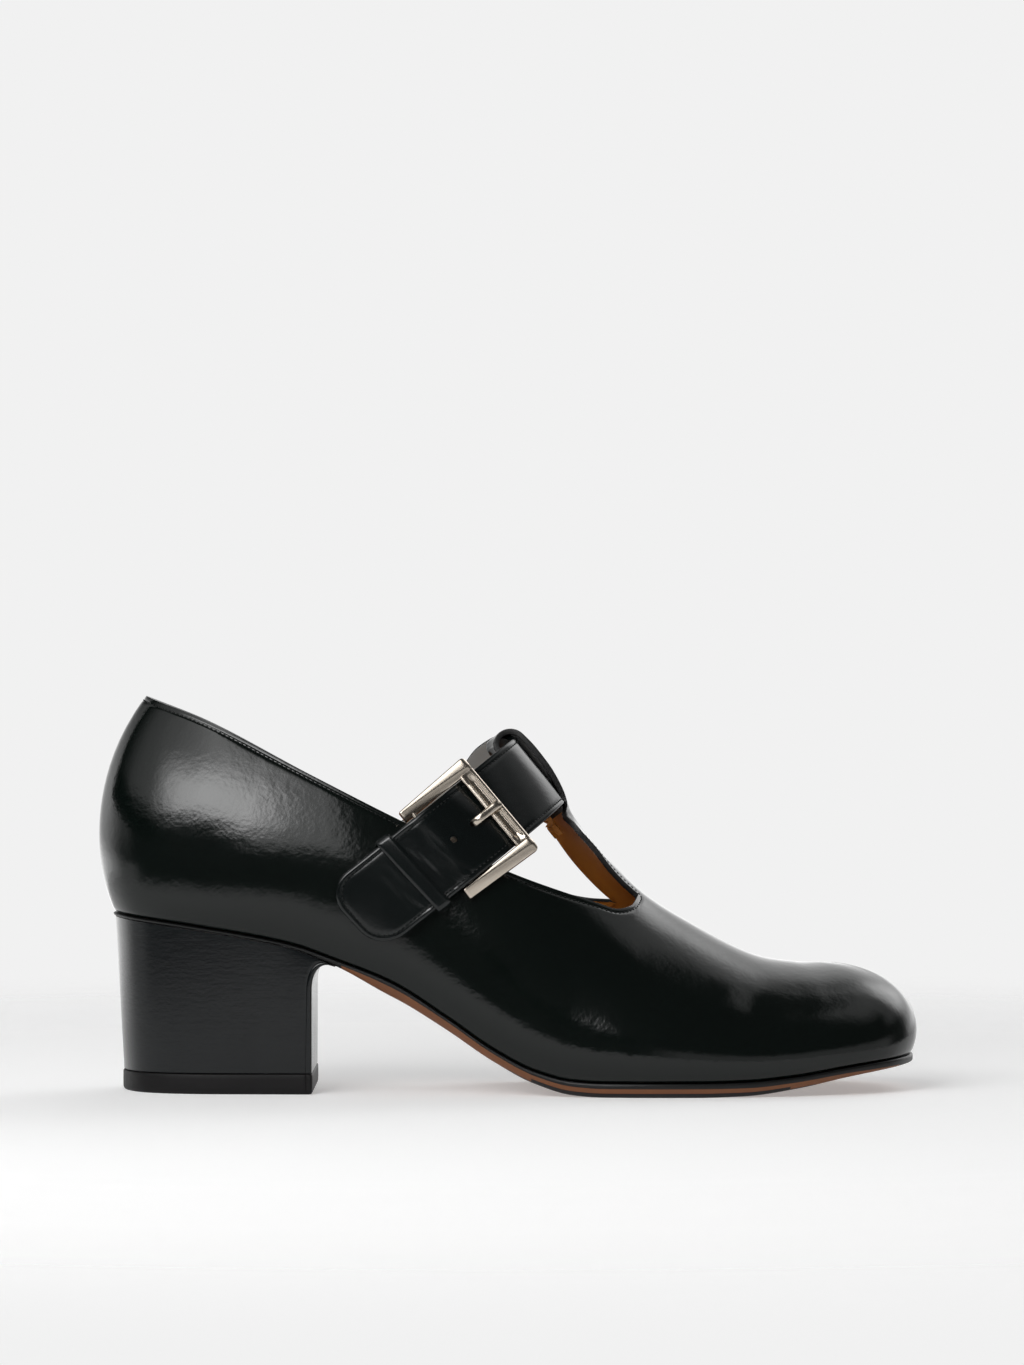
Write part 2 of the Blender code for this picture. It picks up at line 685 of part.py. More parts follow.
def buckle_frame_axes():
    """Origin on the heel bar, with axes to the outer bar, across the strap and outwards."""
    bar_at, outer_at = PLACES["heel_bar"], PLACES["outer_bar"]
    origin = belt_point(STRAP_CLIMB, bar_at, BAR_LIFT)
    ahead = belt_point(STRAP_CLIMB, outer_at, OUTER_BAR_LIFT) - origin
    reach = ahead.length
    ahead.normalize()
    across = belt_point(STRAP_CLIMB + 10.0, bar_at, 0.0) - belt_point(STRAP_CLIMB - 10.0, bar_at, 0.0)
    across = (across - ahead * across.dot(ahead)).normalized()
    outward = ahead.cross(across)
    if outward.y > 0.0:
        outward.negate()
    return origin, ahead, across, outward, reach


ORIGIN, AHEAD, ACROSS, OUTWARD, REACH = buckle_frame_axes()


def in_buckle(a, b, h):
    return ORIGIN + AHEAD * a + ACROSS * b + OUTWARD * h


def prism(outline, place, first, last):
    """A flat outline swept straight from first to last."""
    count = len(outline)
    points = [place(p, depth) for depth in (first, last) for p in outline]
    faces = [tuple(range(count)), tuple(range(count, 2 * count))]
    faces += [(i, (i + 1) % count, count + (i + 1) % count, count + i) for i in range(count)]
    return points, faces


def across_buckle(p, b):
    return in_buckle(p[0], b, p[1])


def slot_box(slot):
    """Cutter for a slot that the prong passes through."""
    first, last, play = slot
    box = [(first, -SLOT_DEPTH), (last, -SLOT_DEPTH), (last, SLOT_DEPTH), (first, SLOT_DEPTH)]
    return prism(box, across_buckle, -PRONG_WIDE / 2 - play, PRONG_WIDE / 2 + play)


def ribbon(path, thick):
    """The outline of a strip of even thickness that follows a flat path."""
    left = []
    right = []
    for i, (a, h) in enumerate(path):
        before, after = path[max(i - 1, 0)], path[min(i + 1, len(path) - 1)]
        da, dh = after[0] - before[0], after[1] - before[1]
        size = math.hypot(da, dh)
        left.append((a - dh / size * thick / 2, h + da / size * thick / 2))
        right.append((a + dh / size * thick / 2, h - da / size * thick / 2))
    return left + list(reversed(right))


def arc(radius, first, last, count):
    """Points round the heel bar, from one angle to another in degrees."""
    turns = spread(math.radians(first), math.radians(last), count)
    return [(radius * math.cos(t), radius * math.sin(t)) for t in turns]


def build_buckle(finish, root):
    """Nickel frame: two tapering arms, a wide outer bar and the thin heel bar."""
    outside = ARM_INSIDE + ARM_WIDE
    narrow = ARM_INSIDE + ARM_NARROW
    front = REACH + OUTER_BAR_WIDE / 2
    back = REACH - OUTER_BAR_WIDE / 2
    outline = [(-ARM_TAIL, ARM_INSIDE), (back, ARM_INSIDE), (back, -ARM_INSIDE),
               (-ARM_TAIL, -ARM_INSIDE), (-ARM_TAIL, -narrow),
               (front - CORNER, -outside), (front, -outside + CORNER),
               (front, outside - CORNER), (front - CORNER, outside), (-ARM_TAIL, narrow)]
    plate = prism(outline, lambda p, h: in_buckle(p[0], p[1], h), -ARM_THICK / 2, ARM_THICK / 2)
    frame = add_object("buckle_frame", *plate, finish, root)
    reach = ARM_INSIDE + ARM_NARROW / 2
    bar = prism(arc(BAR_RADIUS, 0.0, 360.0, BAR_SIDES)[:-1], across_buckle, -reach, reach)
    bar = add_object("buckle_heel_bar", *bar, finish, root)
    bar.hide_render = True
    bar.display_type = "WIRE"
    join = frame.modifiers.new("heel bar", "BOOLEAN")
    join.operation = "UNION"
    join.object = bar
    return frame


def build_prong(finish, root):
    """Prong bent round the heel bar, up through the strap and on to the outer bar."""
    ring = BAR_RADIUS + GAP + PRONG_THICK / 2
    rest = ARM_THICK / 2 + GAP + PRONG_THICK / 2
    path = arc(ring, -325.0, -90.0, 9) + list(PRONG_PATH)
    path += [(REACH - OUTER_BAR_WIDE / 2, rest), (REACH + PRONG_TIP, rest)]
    shape = prism(ribbon(path, PRONG_THICK), across_buckle, -PRONG_WIDE / 2, PRONG_WIDE / 2)
    return add_object("buckle_prong", *shape, finish, root)


def build_tab(finish, root):
    """Leather tab on the outer quarter, folded round the heel bar either side of the prong."""
    ring = BAR_RADIUS + GAP + TAB_THICK / 2
    lift = GAP + TAB_SEAT + TAB_THICK / 2
    path = []
    for back in spread(TAB_LENGTH, TAB_FREE, 6):
        wall = belt_point(STRAP_CLIMB, PLACES["heel_bar"] - back, lift) - ORIGIN
        path.append((wall.dot(AHEAD), wall.dot(OUTWARD)))
    path += arc(ring, -90.0, 140.0, 8)
    shape = prism(ribbon(path, TAB_THICK), across_buckle, -TAB_WIDTH / 2, TAB_WIDTH / 2)
    tab = add_object("buckle_tab", *shape, finish, root)
    cut(tab, add_object("tab_slot_cutter", *slot_box(TAB_SLOT), finish, root))
    return tab


def main():
    clear_scene()
    root = bpy.data.objects.new("shoe", None)
    root.location = (-LENGTH / 2 * MM, SIDE_SHIFT * MM, 0.0)
    bpy.context.scene.collection.objects.link(root)
    leather = material("polished_leather", "#0e1513", 0.28)
    strap_leather = material("strap_leather", "#11181a", 0.32)
    sole_leather = material("sole_leather", "#8c5f3f", 0.5)
    lining = material("lining_leather", "#8a4f1d", 0.55)
    covered = material("heel_cover_leather", "#111719", 0.3)
    rubber = material("lift_rubber", "#1f1e20", 0.7)
    nickel = material("nickel", "#b9b0a4", 0.25, 1.0)
    build_upper(leather, root)
    build_outsole(sole_leather, root)
    build_insole(lining, root)
    build_heel(covered, root)
    build_top_lift(rubber, root)
    build_strap(strap_leather, root)
    build_keeper(strap_leather, root)
    build_buckle(nickel, root)
    build_prong(nickel, root)
    build_tab(strap_leather, root)


main()
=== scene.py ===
"""Looks of the right-foot T-strap shoe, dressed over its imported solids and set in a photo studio."""
import bisect
import math
import random
from collections import namedtuple
from functools import lru_cache

import bmesh
import bpy
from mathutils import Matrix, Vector
from mathutils.bvhtree import BVHTree


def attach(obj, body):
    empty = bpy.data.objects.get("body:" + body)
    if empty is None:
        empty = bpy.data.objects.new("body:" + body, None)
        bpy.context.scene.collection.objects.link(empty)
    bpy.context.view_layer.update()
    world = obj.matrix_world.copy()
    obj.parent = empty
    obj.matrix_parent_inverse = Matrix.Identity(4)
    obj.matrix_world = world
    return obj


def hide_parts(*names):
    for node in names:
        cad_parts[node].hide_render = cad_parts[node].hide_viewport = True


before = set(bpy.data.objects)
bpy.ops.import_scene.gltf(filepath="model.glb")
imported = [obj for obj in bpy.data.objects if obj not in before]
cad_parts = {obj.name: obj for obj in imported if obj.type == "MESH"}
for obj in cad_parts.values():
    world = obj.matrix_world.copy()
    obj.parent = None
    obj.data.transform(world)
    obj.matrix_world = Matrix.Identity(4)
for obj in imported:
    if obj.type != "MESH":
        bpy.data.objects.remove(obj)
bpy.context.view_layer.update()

# Sizes are in millimetres, as in the part's source: x from the back of the heel to the
# toe, y towards the inner side of the foot, z up. SHIFT moves them to the row frame.
MM = 0.001
SHIFT = Vector((-122.5, -0.5, 0.0))
GAP = 0.3
WALL = 1.6
LASTING_MARGIN = 3.0
OUTER = -1
INNER = 1

# The last: one row for each section, from the back of the heel to the toe tip.
# outer and inner are half widths at the feather edge, face is the way the wall
# looks (0 sideways, 90 to the toe), swell and rise shape the lower wall, and
# top_x, ridge, half, top_z, reach and drop shape the crown that it runs into.
Section = namedtuple("Section", "x outer inner face swell rise top_x ridge half top_z reach drop")
LAST = [Section(*row) for row in (
    (4.6, 0.0, 0.0, -90, 8.8, 17.7, 27.0, 0.0, 0.0, 130.0, 30.0, 22.0),
    (9.0, 14.5, 14.5, -58, 8.8, 17.7, 29.0, 0.0, 4.0, 130.0, 24.0, 22.0),
    (19.0, 22.5, 22.5, -28, 9.0, 18.0, 38.0, 0.0, 8.0, 130.0, 18.0, 22.0),
    (36.0, 26.5, 26.0, -6, 9.0, 18.0, 54.0, 0.0, 11.0, 128.0, 13.0, 22.0),
    (62.0, 27.5, 25.0, 0, 9.5, 19.0, 84.0, 0.0, 8.0, 124.0, 17.0, 18.0),
    (90.0, 29.0, 24.5, -6, 9.5, 20.0, 111.0, 1.0, 0.0, 114.0, 24.0, 3.0),
    (115.0, 33.0, 26.5, -8, 10.0, 21.0, 131.0, 1.5, 0.0, 95.2, 23.0, 0.0),
    (138.0, 36.5, 31.5, -8, 10.0, 21.0, 147.0, 2.0, 0.0, 74.8, 20.0, 0.0),
    (160.0, 39.5, 37.5, -3, 9.0, 20.0, 162.0, 2.0, 0.0, 59.0, 18.0, 0.0),
    (182.0, 39.0, 40.5, 3, 8.5, 16.0, 179.0, 2.5, 0.0, 48.3, 20.0, 0.0),
    (203.0, 36.0, 39.5, 11, 8.0, 13.0, 195.0, 3.0, 0.0, 40.4, 22.0, 0.3),
    (221.0, 30.0, 35.5, 22, 7.0, 12.0, 207.0, 3.5, 0.0, 38.0, 22.0, 0.3),
    (234.5, 21.5, 28.5, 45, 6.0, 12.0, 215.0, 4.0, 0.0, 37.7, 22.0, 0.5),
    (241.3, 9.5, 16.5, 72, 6.0, 12.0, 218.5, 4.0, 0.0, 37.5, 19.0, 0.8),
    (243.0, -3.5, 3.5, 90, 6.0, 12.0, 219.5, 4.0, 0.0, 37.5, 18.5, 0.9),
)]
TIP = len(LAST) - 1

# The bottom of the upper and the sole under it: x, height of the feather edge,
# thickness of the sole, height of the tan bevel on its edge, inset of that bevel.
SOLE_LINE = (
    (0.0, 53.8, 0.9, 0.3, 0.3), (30.0, 49.8, 0.9, 0.3, 0.3), (57.0, 44.9, 0.9, 0.3, 0.3),
    (72.0, 39.8, 1.8, 0.9, 1.2), (88.0, 33.4, 4.2, 2.8, 2.6), (104.0, 23.4, 3.7, 2.6, 2.4),
    (118.0, 13.9, 3.5, 2.4, 2.0), (130.0, 7.8, 3.7, 2.4, 1.5), (141.0, 5.0, 4.1, 2.6, 1.2),
    (150.0, 4.5, 4.2, 2.6, 1.1), (178.0, 4.5, 4.2, 2.6, 1.1), (192.0, 4.8, 4.1, 2.4, 1.1),
    (207.0, 6.2, 3.5, 1.9, 1.0), (222.0, 8.5, 2.8, 1.2, 0.7), (236.0, 10.3, 2.4, 0.5, 0.4),
    (245.0, 11.2, 2.2, 0.3, 0.4),
)
SOLE_EDGE = 0.4

# The topline as the knife cuts it in side view: x, height, extra on the inner side.
TOPLINE = (
    (4.0, 122.5, 0.0), (14.0, 117.4, 0.0), (31.0, 111.0, -0.9), (60.0, 96.3, -1.8),
    (90.0, 81.1, -2.6), (122.0, 65.9, -2.9), (137.0, 60.2, -2.2), (149.0, 56.2, -0.3),
    (155.0, 54.4, 1.4), (158.8, 55.2, 1.5), (161.5, 58.8, 0.8), (163.0, 63.0, 0.0),
    (165.0, 75.0, 0.0),
)

# The T-bar runs up the ridge of the last. The strap's belt planes slope up to
# the front, and climb tells how far a plane lies along the ridge.
STRAP_SLOPE = math.radians(38.5)
STRAP_CLIMB = -7.5
STRAP_WIDTH = 25.0
STRAP_THICK = 2.0
T_BAR_HALF = {OUTER: 6.2, INNER: 17.5}
# Share of the half width that the bar keeps on its way up, on the inner and the outer side.
T_BAR_TAPER = ((-60.0, 1.0), (-46.0, 1.05), (-34.0, 1.1), (-26.0, 1.08), (-20.0, 0.8), (-14.0, 0.6),
               (2.0, 0.42), (20.0, 0.4))
T_BAR_SLIM = ((-60.0, 1.0), (-31.0, 0.9), (-25.0, 0.75), (-22.5, 0.7), (-19.5, 0.35), (20.0, 0.35))
# The loop sits over to the inner side, off the strap's crest.
T_BAR_SHIFT = ((-60.0, 0.0), (-23.0, 0.0), (-19.0, 4.5), (20.0, 4.5))
RETURN_END_SHARE = 0.4
TOE_BLEND_HALF = 8.0
T_BAR_FREE_CLIMB = -30.0
# The bar's lift off the last, by climb, on its way up to its fold and back beneath the strap.
T_BAR_LIFT = ((-60.0, 0.0), (-36.0, 0.3), (-28.0, 0.5), (-23.5, 0.8), (-20.0, 1.8), (-17.5, 2.7),
              (-13.0, 3.7), (-7.3, 4.5), (0.0, 4.9), (4.0, 4.7))
T_BAR_RETURN = ((4.0, -5.0), (-2.0, -5.2), (-14.0, -6.2), (-20.0, -6.6), (-26.5, -6.4))
RETURN_SPREAD = 0.1
# How far the bar's edges stand up off the last or hang, at the full half width.
T_BAR_ROLL = {
    OUTER: ((-60.0, 0.0), (-46.0, 1.5), (-38.0, 2.2), (-31.0, 1.7), (-26.0, 0.9), (-22.5, -0.3),
            (-19.5, 0.0), (20.0, 0.0)),
    INNER: ((-60.0, 0.0), (-18.0, -1.0), (4.0, -1.0), (20.0, 0.0)),
}
LOOP_CLIMB = -21.0
SEAM_TOP_CLIMB = -31.0

# Places along the strap, by their x in side view, and the strap's lift off the last there.
TIP_X = 76.5
KEEPER_X = 94.0
HEEL_BAR_X = 102.7
SPARE_HOLE_X = 105.3
SLOT_X = 110.5
OUTER_BAR_X = 116.4
INNER_TOUCH_X = 114.5
INNER_END_X = 86.0
STRAP_TIP_RADIUS = 9.0
LIFT_TIP = 0.9
LIFT_KEEPER = 2.2
LIFT_HEEL_BAR = 4.6
LIFT_SLOT = 3.6
LIFT_OUTER_BAR = 1.1
LIFT_CREST = -0.5
LIFT_INNER = 0.6
CREST_FROM = -5.0
CREST_TO = 14.0
# How far the strap rides above its belt plane, by distance from the ridge.
STRAP_RISE = ((-90.0, 0.0), (0.0, 0.0), (12.0, 4.0), (18.0, 4.4), (34.0, 1.4), (90.0, 1.0))

KEEPER_WIDTH = 4.6
KEEPER_THICK = 1.0
KEEPER_PLAY = 0.35

BAR_RADIUS = 0.8
BAR_LIFT = 2.3
OUTER_BAR_LIFT = 5.2
ARM_INSIDE = 12.95
ARM_WIDE = 4.75
ARM_NARROW = 3.6
ARM_THICK = 2.6
ARM_TAIL = 3.2
OUTER_BAR_WIDE = 5.0
PRONG_THICK = 1.2
# The prong's way from the heel bar to the outer bar: along the buckle, outwards.
PRONG_PATH = ((3.5, -1.4), (7.0, -1.5), (9.4, -1.3), (10.6, -0.5), (11.4, 0.7), (12.1, 1.8),
              (12.9, 2.45), (14.0, 2.7), (15.2, 2.6))
PRONG_TIP = 1.8

HEEL_BACK_FOOT = 7.2
BREAST_X = 64.2
BREAST_LIP_X = 71.4
HEEL_FOOT_SCALE = 0.95
BREAST_FILLET_START = 0.71
LIFT_HEIGHT = 6.0


# The last and the lines drawn on it

def between(first, last, leaving, arriving, t):
    """A smooth way from first to last, with its slopes there given for the whole step."""
    return (first * (1 + 2 * t) * (1 - t) ** 2 + last * t * t * (3 - 2 * t)
            + leaving * t * (1 - t) ** 2 - arriving * t * t * (1 - t))


def curve_through(points):
    """A smooth curve with no overshoot through (x, value) points, as a function of x."""
    xs = [p[0] for p in points]
    ys = [p[1] for p in points]
    count = len(xs)
    rise = [(ys[i + 1] - ys[i]) / (xs[i + 1] - xs[i]) for i in range(count - 1)]
    slope = [rise[0]]
    for i in range(1, count - 1):
        both = rise[i - 1] * rise[i]
        slope.append(2.0 * both / (rise[i - 1] + rise[i]) if both > 0.0 else 0.0)
    slope.append(rise[-1])

    def value(x):
        x = min(max(x, xs[0]), xs[-1])
        i = min(max(bisect.bisect_left(xs, x) - 1, 0), count - 2)
        step = xs[i + 1] - xs[i]
        t = (x - xs[i]) / step
        return between(ys[i], ys[i + 1], slope[i] * step, slope[i + 1] * step, t)
    return value


def ease(t):
    """Runs softly from 0 to 1 as t does."""
    t = min(max(t, 0.0), 1.0)
    return t * t * (3 - 2 * t)


def bell(t):
    return math.exp(-t * t)


def spread(first, last, count):
    return [first + (last - first) * k / count for k in range(count + 1)]


feather = curve_through([(row[0], row[1]) for row in SOLE_LINE])
sole_thickness = curve_through([(row[0], row[2]) for row in SOLE_LINE])
bevel_height = curve_through([(row[0], row[3]) for row in SOLE_LINE])
bevel_inset = curve_through([(row[0], row[4]) for row in SOLE_LINE])
topline = {
    OUTER: curve_through([(row[0], row[1]) for row in TOPLINE]),
    INNER: curve_through([(row[0], row[1] + row[2]) for row in TOPLINE]),
}


def solve(low, high, test):
    """The place between low and high where test turns from false to true."""
    for _ in range(26):
        middle = 0.5 * (low + high)
        if test(middle):
            high = middle
        else:
            low = middle
    return 0.5 * (low + high)


@lru_cache(maxsize=None)
def section_points(side, row):
    """The four control points of a section's wall, from the feather edge to the crown."""
    if row < 0:
        return section_points(-side, -row)
    if row > TIP:
        return section_points(-side, 2 * TIP - row)
    shape = LAST[row]
    half = shape.outer if side == OUTER else shape.inner
    face = math.radians(shape.face)
    out = Vector((math.sin(face), side * math.cos(face), 0.0))
    foot = Vector((shape.x, side * half, feather(shape.x)))
    crown = Vector((shape.top_x, shape.ridge + side * shape.half, shape.top_z))
    lean = shape.rise * (crown.x - foot.x) / (crown.z - foot.z) * math.cos(face) ** 2
    low = foot + out * shape.swell + Vector((lean, 0.0, shape.rise))
    high = crown + out * shape.reach - Vector((0.0, 0.0, shape.drop))
    return foot, low, high, crown


@lru_cache(maxsize=None)
def section(side, s):
    """Control points of the section at any place s between the rows of the last."""
    row = min(int(math.floor(s)), TIP - 1)
    t = s - row
    weights = (0.5 * (-t + 2 * t ** 2 - t ** 3), 0.5 * (2 - 5 * t ** 2 + 3 * t ** 3),
               0.5 * (t + 4 * t ** 2 - 3 * t ** 3), 0.5 * (-t ** 2 + t ** 3))
    near = [section_points(side, row + k) for k in (-1, 0, 1, 2)]
    points = [sum((near[k][i] * weights[k] for k in range(4)), Vector()) for i in range(4)]
    settle = feather(points[0].x) - points[0].z
    points[0].z += settle
    points[1].z += settle
    return points


def last_point(side, s, v):
    """A point of the upper's outer face: v runs from the feather edge (0) to the crown (1)."""
    foot, low, high, crown = section(side, s)
    u = 1.0 - v
    return foot * u ** 3 + low * (3 * u * u * v) + high * (3 * u * v * v) + crown * v ** 3


def foot_outline(side, s, grow=0.0):
    """Plan point of the feather edge, moved outwards by grow."""
    step = 0.01
    ahead = section(side, min(s + step, TIP))[0]
    behind = section(side, max(s - step, 0.0))[0]
    if s >= TIP or s <= 0.0:
        out = Vector((1.0 if s > 0.0 else -1.0, 0.0, 0.0))
    else:
        along = ahead - behind
        out = Vector((-along.y, along.x, 0.0)).normalized() * side
    point = section(side, s)[0] + out * grow
    return Vector((point.x, point.y, 0.0))


UP_RIDGE = Vector((-math.sin(STRAP_SLOPE), 0.0, math.cos(STRAP_SLOPE)))
ALONG_STRAP = Vector((math.cos(STRAP_SLOPE), 0.0, math.sin(STRAP_SLOPE)))
RIDGE_FIRST = 4.4
RIDGE_LAST = 9.0
BELT_STEPS = 40
BELT_SHARE = 0.98
THROAT_FIRST = 6.5
BELT_GRID = 1.0


@lru_cache(maxsize=None)
def ridge_place(climb):
    """Where along the last the ridge crosses the belt plane of this climb."""
    return solve(RIDGE_FIRST, RIDGE_LAST, lambda s: section(INNER, s)[3].dot(UP_RIDGE) < climb)


@lru_cache(maxsize=None)
def belt(climb):
    """The last cut by a belt plane: distances from the ridge, points and slopes in the plane."""
    crest = ridge_place(climb)
    halves = {}
    for side in (OUTER, INNER):
        low = solve(0.0, crest, lambda s: section(side, s)[0].dot(UP_RIDGE) < climb)
        run = []
        for k in range(BELT_STEPS + 1):
            s = crest - (crest - low) * (k / BELT_STEPS) ** 2 * BELT_SHARE
            v = solve(0.0, 1.0, lambda v: last_point(side, s, v).dot(UP_RIDGE) > climb)
            point = last_point(side, s, v)
            run.append((point.y, point.dot(ALONG_STRAP)))
        halves[side] = run
    line = list(reversed(halves[OUTER])) + halves[INNER][1:]
    middle = len(halves[OUTER]) - 1
    away = [0.0] * len(line)
    for i in range(middle + 1, len(line)):
        away[i] = away[i - 1] + math.dist(line[i], line[i - 1])
    for i in range(middle - 1, -1, -1):
        away[i] = away[i + 1] - math.dist(line[i], line[i + 1])
    slopes = []
    for i in range(len(line)):
        a, b = max(i - 1, 0), min(i + 1, len(line) - 1)
        slopes.append([(line[b][n] - line[a][n]) / (away[b] - away[a]) for n in (0, 1)])
    return away, line, slopes


def belt_flat(climb, along, lift):
    """The y and in-plane height of a point on a belt, lifted off the last."""
    away, line, slopes = belt(climb)
    i = min(max(bisect.bisect_left(away, along), 1), len(away) - 1)
    step = away[i] - away[i - 1]
    t = (along - away[i - 1]) / step
    spot = []
    turn = []
    for n in (0, 1):
        leaving, arriving = slopes[i - 1][n] * step, slopes[i][n] * step
        spot.append(between(line[i - 1][n], line[i][n], leaving, arriving, t))
        turn.append(slopes[i - 1][n] * (1 - t) + slopes[i][n] * t)
    size = math.hypot(*turn)
    return spot[0] - turn[1] / size * lift, spot[1] + turn[0] / size * lift


def belt_point(climb, along, lift):
    """A point on a belt round the instep: distance from the ridge, lift off the last."""
    low = math.floor(climb / BELT_GRID) * BELT_GRID
    t = (climb - low) / BELT_GRID
    first = belt_flat(low, along, lift)
    second = belt_flat(low + BELT_GRID, along, lift)
    y, height = (first[n] * (1 - t) + second[n] * t for n in (0, 1))
    return UP_RIDGE * climb + ALONG_STRAP * height + Vector((0.0, y, 0.0))


def belt_distance(side, x):
    """Distance from the ridge along the strap's middle to the place with this x in side view."""
    away, _, _ = belt(math.floor(STRAP_CLIMB))
    far = (away[-1] if side == INNER else -away[0]) - 1.0
    return side * solve(1.0, far, lambda d: belt_point(STRAP_CLIMB, side * d, 0.0).x < x)


def edge_place(side, s, half):
    """How far up a section the T-bar's edge lies, half a bar's width from the ridge."""
    crown = last_point(side, s, 1.0)
    return solve(0.0, 1.0, lambda v: (last_point(side, s, v) - crown).length < half)


def topline_place(side, s):
    """How far up a section the topline is cut."""
    steps = 60
    for k in range(1, steps + 1):
        point = last_point(side, s, k / steps)
        if point.z > topline[side](point.x):
            break

    def above(v):
        point = last_point(side, s, v)
        return point.z > topline[side](point.x)
    return solve((k - 1) / steps, k / steps, above)


def bar_half(side, s, throat):
    """Half width of the centre strip: the T-bar's at the throat, one width at the toe."""
    return T_BAR_HALF[side] + (TOE_BLEND_HALF - T_BAR_HALF[side]) * ease((s - throat) / (TIP - throat))


def throat_place(side):
    """The section where the topline runs into the T-bar's edge."""
    def covered(s):
        point = last_point(side, s, edge_place(side, s, T_BAR_HALF[side]))
        return point.z < topline[side](point.x)
    return solve(THROAT_FIRST, RIDGE_LAST, covered)


# Meshes

def in_row(point):
    return (point + SHIFT) * MM


SHARP = math.radians(48.0)
SAME_POINT = 0.000004


def add_piece(name, points, faces, finishes, marks=None):
    """A smooth mesh in the row frame; marks picks one of the finishes for each face."""
    mesh = bpy.data.meshes.new(name)
    mesh.from_pydata([in_row(p) for p in points], [], faces)
    for finish in finishes:
        mesh.materials.append(finish)
    if marks:
        mesh.polygons.foreach_set("material_index", marks)
    work = bmesh.new()
    work.from_mesh(mesh)
    bmesh.ops.remove_doubles(work, verts=work.verts, dist=SAME_POINT)
    bmesh.ops.recalc_face_normals(work, faces=work.faces)
    work.to_mesh(mesh)
    work.free()
    mesh.shade_smooth()
    obj = bpy.data.objects.new(name, mesh)
    bpy.context.scene.collection.objects.link(obj)
    return obj


def settle(obj):
    """Turns a piece's modifiers into its mesh, and keeps its true corners crisp."""
    ready = obj.evaluated_get(bpy.context.evaluated_depsgraph_get())
    mesh = bpy.data.meshes.new_from_object(ready)
    obj.modifiers.clear()
    obj.data = mesh
    mesh.name = obj.name
    mesh.set_sharp_from_angle(angle=SHARP)
    return obj


def dress(obj, slot, *nodes):
    """Hands a finished piece to the frame, in place of its solids."""
    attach(obj, "root")
    if nodes:
        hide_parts(*nodes)


def quads_between(first, second):
    return [(first[i], first[i + 1], second[i + 1], second[i]) for i in range(len(first) - 1)]


def stack(loops):
    """The points of some loops in one list, and each loop's places in it."""
    points = []
    rings = []
    for loop in loops:
        start = len(points)
        points += loop
        rings.append(list(range(start, len(points))))
    return points, rings


def skin(loops, closed=False):
    """A skin over loops of points, capped at both ends unless the loops run round."""
    points, rings = stack(loops)
    faces = []
    followers = rings[1:] + rings[:1] if closed else rings[1:]
    for first, second in zip(rings, followers):
        faces += quads_between(first + first[:1], second + second[:1])
    if not closed:
        faces += [tuple(rings[0]), tuple(rings[-1])]
    return points, faces


def round_edge(inside, radius):
    """How far a face falls near its edge when the edge is rounded."""
    short = max(radius - inside, 0.0)
    return radius - math.sqrt(max(radius ** 2 - short ** 2, 0.0))


# Materials

def colour(hex_code):
    """Linear colour of an sRGB hex value."""
    parts = [int(hex_code[i:i + 2], 16) / 255.0 for i in (1, 3, 5)]
    return [p / 12.92 if p <= 0.04045 else ((p + 0.055) / 1.055) ** 2.4 for p in parts] + [1.0]


def add_node(tree, kind, settings=None, **links):
    """Adds a node; settings are its properties, links are input values or output sockets."""
    node = tree.nodes.new(kind)
    for name, value in (settings or {}).items():
        setattr(node, name, value)
    for name, value in links.items():
        key = int(name[1:]) if name[1:].isdigit() else name.replace("_", " ")
        if isinstance(value, bpy.types.NodeSocket):
            tree.links.new(value, node.inputs[key])
        else:
            node.inputs[key].default_value = value
    return node


def per_metre(size):
    """Texture scale for marks of this size in millimetres."""
    return 1.0 / (size * MM)


# How marks are drawn out along x, y and z.
EVEN = (1.0, 1.0, 1.0)
LEVEL = (4.0, 1.0, 0.6)
MOTTLE_DETAIL = 4.0
WEAR_DETAIL = 3.0
WEAR_SHARE = 0.4
GRAIN_DETAIL = 2.0


def finish_with(name, hexes, mottle, rough, bumps, **constants):
    """A principled material from two colours, mottle size, roughness range and bump layers.

    Each bump layer is (size in mm, height in mm, stretch).
    """
    made = bpy.data.materials.new(name)
    made.use_nodes = True
    tree = made.node_tree
    shader = tree.nodes["Principled BSDF"]
    place = add_node(tree, "ShaderNodeTexCoord").outputs["Object"]
    layers = [(mottle, MOTTLE_DETAIL, EVEN), (mottle * WEAR_SHARE, WEAR_DETAIL, EVEN)]
    layers += [(size, GRAIN_DETAIL, stretch) for size, _, stretch in bumps]
    fields = []
    for size, detail, stretch in layers:
        mapped = add_node(tree, "ShaderNodeMapping", Vector=place,
                          Scale=[per_metre(size * along) for along in stretch])
        marks = add_node(tree, "ShaderNodeTexNoise", Vector=mapped.outputs[0], Scale=1.0, Detail=detail)
        fields.append(marks.outputs[0])
    cloud, wear, *grains = fields
    mixed = add_node(tree, "ShaderNodeMix", {"data_type": "RGBA"}, _0=cloud)
    for socket, code in zip([s for s in mixed.inputs if s.type == "RGBA"], hexes):
        socket.default_value = colour(code)
    tree.links.new([s for s in mixed.outputs if s.type == "RGBA"][0], shader.inputs["Base Color"])
    ramp = add_node(tree, "ShaderNodeMapRange", Value=wear, To_Min=rough[0], To_Max=rough[1])
    tree.links.new(ramp.outputs[0], shader.inputs["Roughness"])
    under = None
    for grain, (_, height, _) in zip(grains, bumps):
        bump = add_node(tree, "ShaderNodeBump", Height=grain, Strength=1.0, Distance=height * MM)
        if under is not None:
            tree.links.new(under, bump.inputs["Normal"])
        under = bump.outputs[0]
    if under is not None:
        tree.links.new(under, shader.inputs["Normal"])
    for key, value in constants.items():
        shader.inputs[key.replace("_", " ")].default_value = value
    return made


